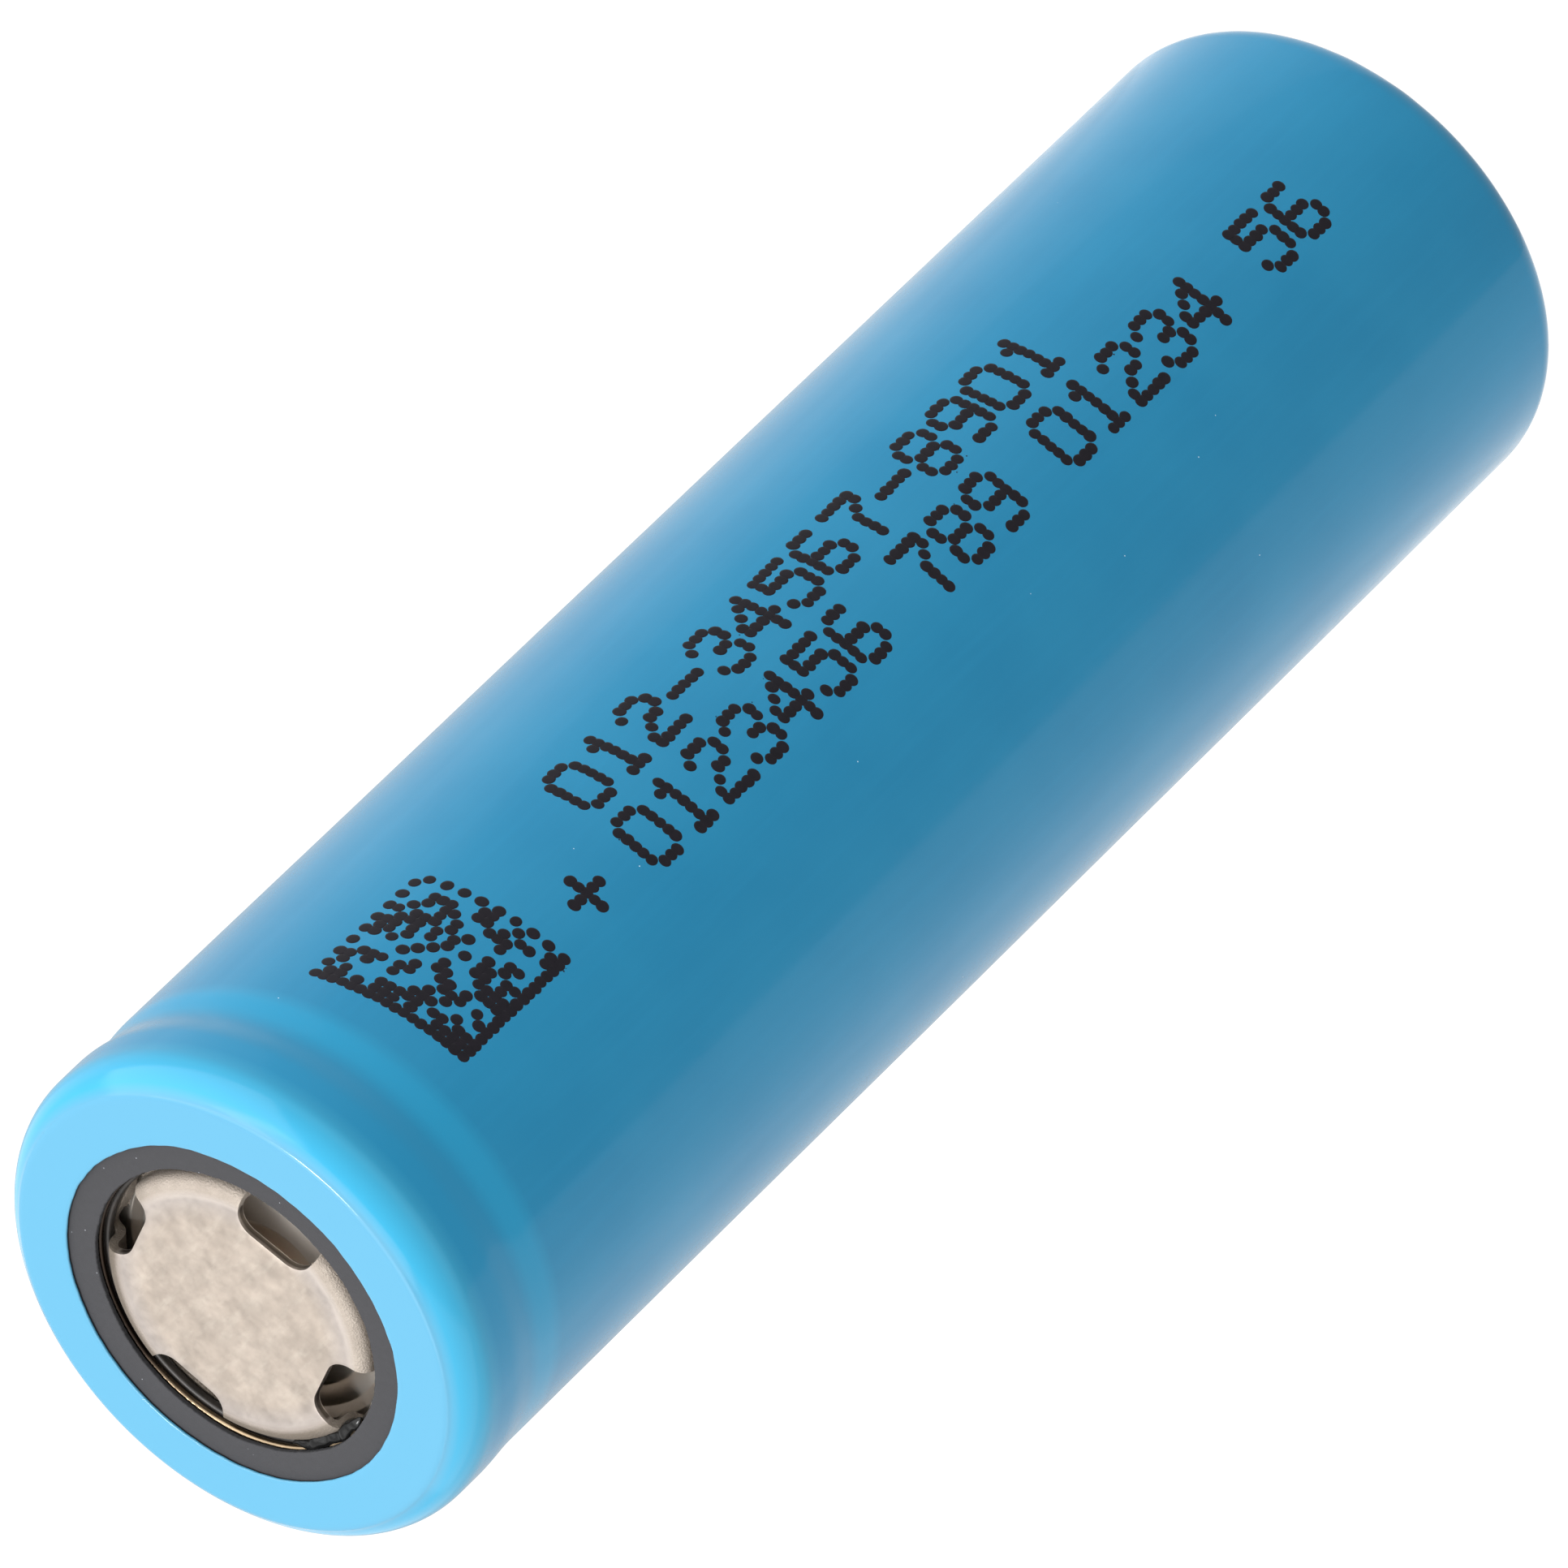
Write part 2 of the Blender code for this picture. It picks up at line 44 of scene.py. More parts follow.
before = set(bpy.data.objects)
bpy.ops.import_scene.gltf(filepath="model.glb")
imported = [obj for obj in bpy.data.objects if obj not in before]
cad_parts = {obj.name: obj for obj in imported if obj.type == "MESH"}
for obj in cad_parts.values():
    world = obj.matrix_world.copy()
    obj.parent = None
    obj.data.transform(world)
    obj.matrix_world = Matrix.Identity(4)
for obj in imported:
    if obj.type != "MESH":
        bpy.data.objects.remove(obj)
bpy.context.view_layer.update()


def size_of(node):
    """Outer radius, lowest height and highest height of a turned CAD node, in millimetres."""
    low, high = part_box(node)
    return high.x / MM, low.z / MM, high.z / MM


# Sizes read from the CAD
SHOULDER_RADIUS, _, CELL_LENGTH = size_of("sleeve")
CAN_TOP_RADIUS, CAN_BOTTOM, CRIMP_TOP = size_of("can")
WASHER_RADIUS, WASHER_BOTTOM, WASHER_TOP = size_of("top_washer")
CAP_RADIUS, CAP_BOTTOM, CAP_TOP = size_of("top_cap")
VENT_RADIUS, _, VENT_TOP = size_of("vent_disc")
GASKET_RADIUS, GASKET_BOTTOM, GASKET_TOP = size_of("gasket")

# Sizes that the CAD and this script share
BODY_RADIUS = 9.17
SLEEVE_WALL = 0.12
GAP = 0.03
TOP_LIP_RADIUS = 6.56
BOTTOM_LIP_RADIUS = 6.9
BEAD_CENTRE = 61.4
BEAD_HALF_WIDTH = 1.3
BEAD_DEPTH = 0.95
SLEEVE_DIP = 0.09
CAN_WALL = 0.25
CAN_RADIUS = BODY_RADIUS - SLEEVE_WALL - GAP
TERMINAL_RADIUS = 6.6
TERMINAL_STEP = 0.1
CRIMP_EDGE_RADIUS = 5.42
CRIMP_SHOULDER = (1.1, 1.2)
CAP_SHEET = 0.3
CAP_WALL_RADIUS = 5.18
CAP_CORNER = 0.5
CAP_FILLET = 0.15
CAP_FLANGE_TOP = CAP_BOTTOM + CAP_SHEET
SEGMENTS = 360


# ---------------------------------------------------------------- profiles


def arc(centre, size, start, end, steps):
    """Points on an elliptical arc. Angles are in degrees: 0 points outward, 90 points up."""
    points = []
    for step in range(steps + 1):
        angle = math.radians(start + (end - start) * step / steps)
        points.append((centre[0] + size[0] * math.cos(angle), centre[1] + size[1] * math.sin(angle)))
    return points


def line(start, end, steps):
    """Points from start to just before end."""
    return [
        (start[0] + (end[0] - start[0]) * step / steps, start[1] + (end[1] - start[1]) * step / steps)
        for step in range(steps)
    ]


def smoothstep(value):
    value = min(1.0, max(0.0, value))
    return value * value * (3 - 2 * value)


def right_of(start, end):
    """The unit normal on the right of the way from start to end."""
    across, up = end[0] - start[0], end[1] - start[1]
    length = math.hypot(across, up)
    return up / length, -across / length


def offset_path(path, distance):
    """The path moved to its right by a distance, with mitred corners."""
    sides = [right_of(a, b) for a, b in zip(path, path[1:])]
    moved = []
    for index, point in enumerate(path):
        before = sides[max(index - 1, 0)]
        after = sides[min(index, len(sides) - 1)]
        stretch = distance / (1 + before[0] * after[0] + before[1] * after[1])
        across = (before[0] + after[0]) * stretch
        up = (before[1] + after[1]) * stretch
        moved.append((point[0] + across, point[1] + up))
    return moved


def wall_radius(height, lower, upper, depth):
    """Radius of a wall that runs over the rolled bead, from its lower to its upper radius."""
    from_centre = (height - BEAD_CENTRE) / BEAD_HALF_WIDTH
    base = lower + (upper - lower) * smoothstep((from_centre + 1) / 2)
    if abs(from_centre) >= 1:
        return base
    return base - depth * math.cos(from_centre * math.pi / 2) ** 2


def bead_path(lower, upper, depth, steps):
    points = []
    for step in range(steps + 1):
        height = BEAD_CENTRE + BEAD_HALF_WIDTH * (1 - 2 * step / steps)
        points.append((wall_radius(height, lower, upper, depth), height))
    return points


# ------------------------------------------------------------------ meshes


def add_object(name, data):
    made = bpy.data.objects.new(name, data)
    bpy.context.scene.collection.objects.link(made)
    return made


def new_mesh(name, points, faces):
    mesh = bpy.data.meshes.new(name)
    mesh.from_pydata(points, [], faces)
    return mesh


def finish_mesh(name, mesh, sharp=40):
    """An object with smooth shading, broken at edges sharper than an angle in degrees."""
    mesh.shade_smooth()
    mesh.set_sharp_from_angle(angle=math.radians(sharp))
    return add_object(name, mesh)


def round_point(radius, angle, height):
    """A point in metres, from its distance from the Z axis, its turn and its height."""
    return radius * math.cos(angle) * MM, radius * math.sin(angle) * MM, height * MM


def revolve(name, profile, shift=None, segments=SEGMENTS, sharp=40):
    """A closed profile turned about the Z axis. shift(angle, radius, height) may move each point."""
    on_axis = profile[0][0] == 0 and profile[-1][0] == 0
    count = len(profile)
    points = []
    for segment in range(segments):
        angle = 2 * math.pi * segment / segments
        for radius, height in profile:
            if shift:
                radius, height = shift(angle, radius, height)
            points.append(round_point(radius, angle, height))
    faces = []
    for segment in range(segments):
        here, there = segment * count, (segment + 1) % segments * count
        for index in range(count - 1 if on_axis else count):
            after = (index + 1) % count
            faces.append((here + index, here + after, there + after, there + index))
    mesh = new_mesh(name, points, faces)
    if on_axis:
        weld(mesh)
    return finish_mesh(name, mesh, sharp)


def weld(mesh):
    """Joins the points that lie in one place on the axis."""
    shape = bmesh.new()
    shape.from_mesh(mesh)
    bmesh.ops.remove_doubles(shape, verts=shape.verts, dist=1e-8)
    shape.to_mesh(mesh)
    shape.free()


def wander(angle, turns, depth, seed):
    """A smooth random value round a circle, from about -depth to depth, that meets itself."""
    spot = Vector((math.cos(angle) * turns, math.sin(angle) * turns, seed))
    return noise.noise(spot) * depth


# ------------------------------------------------------------------ sleeve

LIP_END = SLEEVE_WALL / 2
CORNER_START = 8.25
CORNER_TIGHT = 0.5
CORNER_TURN = 30
SHOULDER_ROUND = 1.64
BOTTOM_CORNER = (1.1, 1.2)
BODY_TOP = BEAD_CENTRE - BEAD_HALF_WIDTH - 0.3
BODY_WAVE = 0.012
DIP_SHIFT = 0.05
LIP_REACH = 0.3
LIP_SHIFT = 0.04


def sleeve_path():
    """The film's outer side, from the edge of its top lip to the edge of its bottom lip."""
    tight = (CORNER_START, CELL_LENGTH - CORNER_TIGHT)
    path = line((TOP_LIP_RADIUS, CELL_LENGTH), (CORNER_START, CELL_LENGTH), 10)
    path += arc(tight, (CORNER_TIGHT, CORNER_TIGHT), 90, 90 - CORNER_TURN, 5)
    slope = math.radians(CORNER_TURN)
    start = path.pop()
    centre = (start[0] - SHOULDER_ROUND * math.sin(slope), start[1] - SHOULDER_ROUND * math.cos(slope))
    reach = SHOULDER_RADIUS - centre[0]
    path += arc(centre, (reach, SHOULDER_ROUND), 90 - CORNER_TURN, 0, 14)
    path += bead_path(BODY_RADIUS, SHOULDER_RADIUS, SLEEVE_DIP, 30)
    path += line((BODY_RADIUS, BODY_TOP), (BODY_RADIUS, BOTTOM_CORNER[1]), 44)
    flat = BODY_RADIUS - BOTTOM_CORNER[0]
    path += arc((flat, BOTTOM_CORNER[1]), BOTTOM_CORNER, 0, -90, 14)
    path += line((flat, 0), (BOTTOM_LIP_RADIUS, 0), 6)[1:]
    path += [(BOTTOM_LIP_RADIUS, 0)]
    return path


def sleeve_shift(angle, radius, height):
    """Small unevenness of shrunk film: a wavy body, a dip that is deeper in places, ragged lips."""
    spot = Vector((math.cos(angle) * 1.5, math.sin(angle) * 1.5, height * 0.07))
    radius += noise.noise(spot) * BODY_WAVE
    from_bead = (height - BEAD_CENTRE) / BEAD_HALF_WIDTH
    if abs(from_bead) < 1:
        deeper = DIP_SHIFT * math.cos(angle) + wander(angle, 1.2, 0.03, 5.0)
        radius -= deeper * math.cos(from_bead * math.pi / 2) ** 2
    if radius < TOP_LIP_RADIUS + LIP_REACH and height > CELL_LENGTH / 2:
        share = (TOP_LIP_RADIUS + LIP_REACH - radius) / LIP_REACH
        radius += share * (LIP_SHIFT * math.sin(angle) + wander(angle, 2.0, 0.05, 9.0))
        radius += share * wander(angle, 14.0, 0.02, 3.0)
    if height < BOTTOM_CORNER[1]:
        share = smoothstep((BODY_RADIUS + 0.2 - radius) / (BODY_RADIUS - BOTTOM_LIP_RADIUS))
        radius += share * (wander(angle, 2.5, 0.08, 7.0) + wander(angle, 16.0, 0.03, 2.0))
        if height > 0.02:
            height += share * wander(angle, 9.0, 0.05, 4.0)
    return radius, height


def build_sleeve():
    """The film. The faces of its top lip's cut edge take its second material."""
    outside = sleeve_path()
    inside = offset_path(outside, SLEEVE_WALL)
    top_end = arc((TOP_LIP_RADIUS, CELL_LENGTH - LIP_END), (LIP_END, LIP_END), 270, 90, 6)[1:-1]
    bottom_end = arc((BOTTOM_LIP_RADIUS, LIP_END), (LIP_END, LIP_END), -90, -270, 6)[1:-1]
    profile = outside + bottom_end + inside[::-1] + top_end
    film = revolve("sleeve_film", profile, sleeve_shift)
    for face in film.data.polygons:
        if face.index % len(profile) >= len(profile) - len(top_end) - 1:
            face.material_index = 1
    return film


# -------------------------------------------------------------- printed ink

LETTER_ROWS = 7
DIGITS = {
    "0": (".###.", "#...#", "#...#", "#...#", "#...#", "#...#", ".###."),
    "1": ("..#..", ".##..", "..#..", "..#..", "..#..", "..#..", ".###."),
    "2": (".###.", "#...#", "....#", "..##.", ".#...", "#....", "#####"),
    "3": (".###.", "#...#", "....#", "..##.", "....#", "#...#", ".###."),
    "4": ("...#.", "..##.", ".#.#.", "#..#.", "#####", "...#.", "...#."),
    "5": ("#####", "#....", "####.", "....#", "....#", "#...#", ".###."),
    "6": (".###.", "#....", "#....", "####.", "#...#", "#...#", ".###."),
    "7": ("#####", "....#", "...#.", "..#..", "..#..", "..#..", "..#.."),
    "8": (".###.", "#...#", "#...#", ".###.", "#...#", "#...#", ".###."),
    "9": (".###.", "#...#", "#...#", ".####", "....#", "....#", ".###."),
    "-": (".....", ".....", ".....", "#####", ".....", ".....", "....."),
    "+": (".....", "..#..", "..#..", "#####", "..#..", "..#..", "....."),
    " ": (".....",) * LETTER_ROWS,
}
# Each row of digits: its text, its start down from the positive end, and the foot and the
# head of its letters as degrees round from the -Y side
ROWS = (
    ("012-34567-8901", 18.18, 23.5, 35.6),
    ("0123456 789 01234 56", 17.98, 5.1, 17.7),
    ("+", 14.47, 5.1, 17.7),
)
DOT_PITCH = 0.352
LETTER_PITCH = 2.03
DOT_RADIUS = 0.232
FIRST_DOT = 0.22
DOT_HEIGHT = 0.008
DOT_SIDES = 20
# A dot's rings from its foot, which is sunk into the film: shares of its radius and its height
DOT_RINGS = ((1.0, -0.5), (0.97, 0.45), (0.7, 0.9))
SPLASHES = 40
SPLASH_RADII = (0.015, 0.035)
BLOCK_CELLS = 18
BLOCK_START = 6.8
BLOCK_END = 12.54
BLOCK_FOOT = 5.05
BLOCK_HEAD = 41.1
BLOCK_FILL = 0.46
BLOCK_SLANT = 0.21
BLOCK_DROP = 0.85


def print_spots():
    """Where the dots lie: (distance down from the positive end, degrees round from the -Y side)."""
    spots = []
    for text, start, foot, head in ROWS:
        for place, letter in enumerate(text):
            for row, cells in enumerate(DIGITS[letter]):
                for column, cell in enumerate(cells):
                    if cell == "#":
                        along = start + FIRST_DOT + place * LETTER_PITCH + column * DOT_PITCH
                        spots.append((along, head + (foot - head) * row / (LETTER_ROWS - 1)))
    return spots + block_spots()


def block_spots():
    """A square of dots with two solid sides, two dotted sides and a seeded random filling.

    Its lower rows start BLOCK_SLANT further along, and its head falls by BLOCK_DROP degrees
    along the cell, a fall that fades to a quarter at its foot.
    """
    draw = random.Random(SEED)
    last = BLOCK_CELLS - 1
    spots = []
    for row in range(BLOCK_CELLS):
        for column in range(BLOCK_CELLS):
            if column == 0 or row == last:
                printed = True
            elif row == 0:
                printed = column % 2 == 0
            elif column == last:
                printed = row % 2 == 1
            else:
                printed = draw.random() < BLOCK_FILL
            if printed:
                across, down = column / last, row / last
                along = BLOCK_START + (BLOCK_END - BLOCK_START) * across + BLOCK_SLANT * down
                drop = BLOCK_DROP * across * (1 - 0.75 * down)
                spots.append((along, BLOCK_HEAD + (BLOCK_FOOT - BLOCK_HEAD) * down - drop))
    return spots


def on_sleeve(along, degrees):
    """Angle and height of a printed spot, and the film's radius there."""
    angle = math.radians(degrees - 90)
    height = CELL_LENGTH - along
    base = wall_radius(height, BODY_RADIUS, SHOULDER_RADIUS, SLEEVE_DIP)
    radius, _ = sleeve_shift(angle, base, height)
    return angle, height, radius


def build_ink():
    """Every dot as a thin closed blister on the film, a little uneven as jetted ink is."""
    draw = random.Random(SEED + 1)
    dots = [(along, degrees, DOT_RADIUS * draw.uniform(0.94, 1.07)) for along, degrees in print_spots()]
    for _ in range(SPLASHES):
        along, degrees = draw.choice(dots)[:2]
        along += draw.uniform(-0.34, 0.34)
        degrees += draw.uniform(-2, 2)
        dots.append((along, degrees, draw.uniform(*SPLASH_RADII)))
    points, faces = [], []
    for along, degrees, size in dots:
        along += draw.uniform(-0.018, 0.018)
        degrees += draw.uniform(-0.12, 0.12)
        add_dot(points, faces, along, degrees, size, draw.uniform(0.95, 1.05))
    return finish_mesh("ink_dots", new_mesh("ink_dots", points, faces), 80)


def add_dot(points, faces, along, degrees, size, stretch):
    """One blister: its rings from the foot up, then the middle of its top and of its foot."""
    first = len(points)
    for share, lift in DOT_RINGS:
        for side in range(DOT_SIDES):
            turn = 2 * math.pi * side / DOT_SIDES
            offset = size * share * stretch * math.cos(turn)
            round_by = math.degrees(size * share / stretch * math.sin(turn) / BODY_RADIUS)
            points.append(blister_point(along + offset, degrees + round_by, lift))
    points.append(blister_point(along, degrees, 1.0))
    points.append(blister_point(along, degrees, DOT_RINGS[0][1]))
    top, bottom = len(points) - 2, len(points) - 1
    last = (len(DOT_RINGS) - 1) * DOT_SIDES
    for side in range(DOT_SIDES):
        after = (side + 1) % DOT_SIDES
        foot, foot_after = first + side, first + after
        for ring in range(len(DOT_RINGS) - 1):
            low, low_after = foot + ring * DOT_SIDES, foot_after + ring * DOT_SIDES
            faces.append((low, low + DOT_SIDES, low_after + DOT_SIDES, low_after))
        faces.append((foot + last, top, foot_after + last))
        faces.append((foot, foot_after, bottom))


def blister_point(along, degrees, lift):
    angle, height, radius = on_sleeve(along, degrees)
    return round_point(radius + DOT_HEIGHT * lift, angle, height)


# ------------------------------------------------------------- positive end

WASHER_INNER_RADIUS = 5.48
WASHER_ROUND = 0.05


def washer_shift(angle, radius, height):
    """A punched fibre ring: its inner edge is ragged and its faces are not quite flat."""
    if radius < WASHER_INNER_RADIUS + 0.1:
        radius += wander(angle, 3.0, 0.05, 1.0) + wander(angle, 40.0, 0.025, 6.0)
    if height > WASHER_BOTTOM + 0.1:
        height += wander(angle, 3.0, 0.012, 2.0)
    return radius, height


def build_washer():
    corner = (WASHER_ROUND, WASHER_ROUND)
    inner, outer = WASHER_INNER_RADIUS + WASHER_ROUND, WASHER_RADIUS - WASHER_ROUND
    high, low = WASHER_TOP - WASHER_ROUND, WASHER_BOTTOM + WASHER_ROUND
    profile = arc((inner, high), corner, 180, 90, 4)
    profile += line((inner, WASHER_TOP), (outer, WASHER_TOP), 12)[1:]
    profile += arc((outer, high), corner, 90, 0, 4)
    profile += arc((outer, low), corner, 0, -90, 4)
    profile += arc((inner, low), corner, -90, -180, 4)
    return revolve("fibre_washer", profile, washer_shift, segments=720)


def cap_outside():
    """The cap's outer side from its middle to its flange, and each point's way along the sheet."""
    path = [(0, CAP_TOP)]
    path += line((0.3, CAP_TOP), (CAP_WALL_RADIUS - CAP_CORNER, CAP_TOP), 18)
    centre = (CAP_WALL_RADIUS - CAP_CORNER, CAP_TOP - CAP_CORNER)
    path += arc(centre, (CAP_CORNER, CAP_CORNER), 90, 0, 12)
    centre = (CAP_WALL_RADIUS + CAP_FILLET, CAP_FLANGE_TOP + CAP_FILLET)
    path += arc(centre, (CAP_FILLET, CAP_FILLET), 180, 270, 5)
    path += line((CAP_WALL_RADIUS + 0.3, CAP_FLANGE_TOP), (CAP_RADIUS, CAP_FLANGE_TOP), 6)
    path += [(CAP_RADIUS, CAP_FLANGE_TOP)]
    lengths = [0.0]
    for start, end in zip(path, path[1:]):
        lengths.append(lengths[-1] + math.dist(start, end))
    return lengths, path


# Each window's turn from +X in degrees, and the distance out of its inner side
WINDOWS = ((12.3, 4.0), (98.5, 3.98), (192.3, 3.65), (281.0, 3.68))
WINDOW_OUTER = 5.82
WINDOW_HALF_WIDTHS = (1.35, 1.8)
WINDOW_CORNERS = (0.78, 0.3)
WINDOW_EDGE = 0.07
SHEET_SPACING = 0.1
SPOT_CLEARANCE = 0.075


def rounded(corners, radii, steps):
    """A closed outline with its corners rounded, and points along its sides too."""
    outline = []
    for index, corner in enumerate(corners):
        here = Vector(corner)
        back = (Vector(corners[index - 1]) - here).normalized()
        ahead = (Vector(corners[(index + 1) % len(corners)]) - here).normalized()
        half = back.angle(ahead) / 2
        start = here + back * radii[index] / math.tan(half)
        centre = here + (back + ahead).normalized() * radii[index] / math.sin(half)
        first = math.atan2(start.y - centre.y, start.x - centre.x)
        turn = back.angle_signed(ahead) - math.copysign(math.pi, back.angle_signed(ahead))
        if outline:
            outline += line(outline[-1], tuple(start), steps)[1:]
        size = (radii[index], radii[index])
        outline += arc(centre, size, math.degrees(first), math.degrees(first - turn), steps)
    return outline + line(outline[-1], outline[0], steps)[1:]


def window_outline(inner):
    """A window as punched in the flat sheet, facing +X, as (distance out, distance across)."""
    narrow, wide = WINDOW_HALF_WIDTHS
    corners = ((WINDOW_OUTER, -wide), (WINDOW_OUTER, wide), (inner, narrow), (inner, -narrow))
    small, large = WINDOW_CORNERS[::-1]
    return rounded(corners, (small, small, large, large), 10)


def turned_by(point, angle):
    """A point of the flat sheet, turned about its middle."""
    return (
        point[0] * math.cos(angle) - point[1] * math.sin(angle),
        point[0] * math.sin(angle) + point[1] * math.cos(angle),
    )


def in_outline(point, outline):
    inside = False
    for start, end in zip(outline, outline[1:] + outline[:1]):
        if (start[1] > point[1]) != (end[1] > point[1]):
            cross = start[0] + (end[0] - start[0]) * (point[1] - start[1]) / (end[1] - start[1])
            if point[0] < cross:
                inside = not inside
    return inside


def in_any(point, outlines):
    return any(in_outline(point, outline) for outline in outlines)


def sheet_spots(windows, lengths):
    """Points of the flat sheet on rings round its middle, clear of the windows' edges."""
    edge_points = np.array([point for window in windows for point in window])
    spots = []
    for length in lengths:
        count = 1 if length == 0 else max(24, min(300, int(2 * math.pi * length / SHEET_SPACING)))
        for step in range(count):
            angle = 2 * math.pi * (step + 0.5) / count
            spot = (length * math.cos(angle), length * math.sin(angle))
            near = np.hypot(edge_points[:, 0] - spot[0], edge_points[:, 1] - spot[1]).min()
            if near > SPOT_CLEARANCE and not in_any(spot, windows):
                spots.append(spot)
    return spots


def flat_sheet(windows, lengths):
    """The flat sheet meshed round its windows: its points and its triangles."""
    points = [point for window in windows for point in window] + sheet_spots(windows, lengths)
    edges = []
    for window in windows:
        first, count = len(edges), len(window)
        edges += [(first + i, first + (i + 1) % count) for i in range(count)]
    found = geometry.delaunay_2d_cdt([Vector(point) for point in points], edges, [], 0, 1e-6)
    flat, kept = found[0], []
    for triangle in found[2]:
        middle = sum((flat[i] for i in triangle), Vector((0, 0))) / 3
        if not in_any(middle, windows):
            kept.append(triangle)
    return flat, kept


def build_cap():
    """The punched flat sheet, meshed round its windows, then bent to the cap's profile."""
    lengths, path = cap_outside()
    windows = [[turned_by(p, math.radians(turn)) for p in window_outline(inner)] for turn, inner in WINDOWS]
    flat, triangles = flat_sheet(windows, lengths)
    radii, heights = zip(*path)
    bent = []
    for spot in flat:
        radius = float(np.interp(spot.length, lengths, radii))
        height = float(np.interp(spot.length, lengths, heights))
        scale = radius / spot.length if spot.length > 1e-9 else 0.0
        bent.append((spot.x * scale * MM, spot.y * scale * MM, height * MM))
    cap = finish_mesh("cap_shell", new_mesh("cap_shell", bent, triangles), 180)
    solid = cap.modifiers.new("sheet", "SOLIDIFY")
    solid.thickness = CAP_SHEET * MM
    solid.offset = -1
    bevel = cap.modifiers.new("edges", "BEVEL")
    bevel.width = WINDOW_EDGE * MM
    bevel.segments = 3
    bevel.limit_method = "ANGLE"
    bevel.angle_limit = math.radians(50)
    return cap


# -------------------------------------------------- can, gasket, vent, sealant

CAN_CORNER = (1.0, 1.0)
CRIMP_EDGE_ROUND = 0.11
STEP_EASE = 0.01
GASKET_LIP_RADIUS = 5.3
GASKET_LIP_ROUND = 0.1
GASKET_SEAT_RADIUS = 8.03
GASKET_FLOOR_RADIUS = 6.9
GASKET_FLOOR_TOP = 62.49
# The gasket's outer side narrows from its full radius to the can's bead
GASKET_TAPER = ((GASKET_RADIUS, 62.9), (8.45, 62.3), (8.1, GASKET_BOTTOM))
VENT_SHEET = 0.25
VENT_DISH_DEPTH = 0.2
VENT_BUTTON_DEPTH = 0.43
VENT_BUTTON_RADIUS = 2.1
VENT_DISH_START = 2.5
VENT_SCORE_RADIUS = 4.05
VENT_SCORE_DEPTH = 0.07
VENT_DISH_END = 4.75
VENT_RIM_START = 5.2
SEALANT_START = 145
SEALANT_SWEEP = 41
SEALANT_RADIUS = 5.3
SEALANT_HEIGHT = 64.74
SEALANT_SIZE = 0.22
SEALANT_STEPS = 70
SEALANT_SIDES = 18


def cut_edge(radius, low, high, size):
    """The way up a cut edge that faces inward, with both corners rounded."""
    below = arc((radius + size, low + size), (size, size), 270, 180, 4)
    return below + arc((radius + size, high - size), (size, size), 180, 90, 4)


def build_can():
    """The whole can, with the rounded cut edge of its crimp and the step of its flat terminal."""
    bend = (CAN_TOP_RADIUS - CRIMP_SHOULDER[0], CRIMP_TOP - CRIMP_SHOULDER[1])
    outside = line((CRIMP_EDGE_RADIUS + CRIMP_EDGE_ROUND + 0.03, CRIMP_TOP), (bend[0], CRIMP_TOP), 6)
    outside += arc(bend, CRIMP_SHOULDER, 90, 0, 14)
    outside += bead_path(CAN_RADIUS, CAN_TOP_RADIUS, BEAD_DEPTH, 24)
    level = CAN_BOTTOM + TERMINAL_STEP
    outside += arc((CAN_RADIUS - CAN_CORNER[0], level + CAN_CORNER[1]), CAN_CORNER, 0, -90, 12)
    step_foot = TERMINAL_RADIUS + TERMINAL_STEP
    outside += [(step_foot + 0.05, level), (step_foot, level - STEP_EASE)]
    outside += [(TERMINAL_RADIUS + 0.03, CAN_BOTTOM + STEP_EASE), (TERMINAL_RADIUS - 0.04, CAN_BOTTOM)]
    outside += [(radius, CAN_BOTTOM) for radius in (5.5, 4.0, 2.0, 0)]
    inside = offset_path(outside, CAN_WALL)
    inside[-1] = (0, inside[-1][1])
    edge = cut_edge(CRIMP_EDGE_RADIUS, CRIMP_TOP - CAN_WALL, CRIMP_TOP, CRIMP_EDGE_ROUND)
    return revolve("can_shell", inside[::-1] + edge + outside)


def build_gasket():
    """The moulded ring between can and cap, with its soft upper lip."""
    lip_low = CAP_FLANGE_TOP + GAP
    bend = (CAN_TOP_RADIUS - CRIMP_SHOULDER[0], CRIMP_TOP - CRIMP_SHOULDER[1])
    profile = line((GASKET_LIP_RADIUS + GASKET_LIP_ROUND, GASKET_TOP), (bend[0], GASKET_TOP), 4)
    profile += arc(bend, (GASKET_RADIUS - bend[0], GASKET_TOP - bend[1]), 90, 0, 10)
    profile += GASKET_TAPER
    profile += [(GASKET_FLOOR_RADIUS, GASKET_BOTTOM), (GASKET_FLOOR_RADIUS, GASKET_FLOOR_TOP)]
    profile += [(GASKET_SEAT_RADIUS, GASKET_FLOOR_TOP), (GASKET_SEAT_RADIUS, lip_low)]
    profile += cut_edge(GASKET_LIP_RADIUS, lip_low, GASKET_TOP, GASKET_LIP_ROUND)[:-1]
    return revolve("gasket_ring", profile)


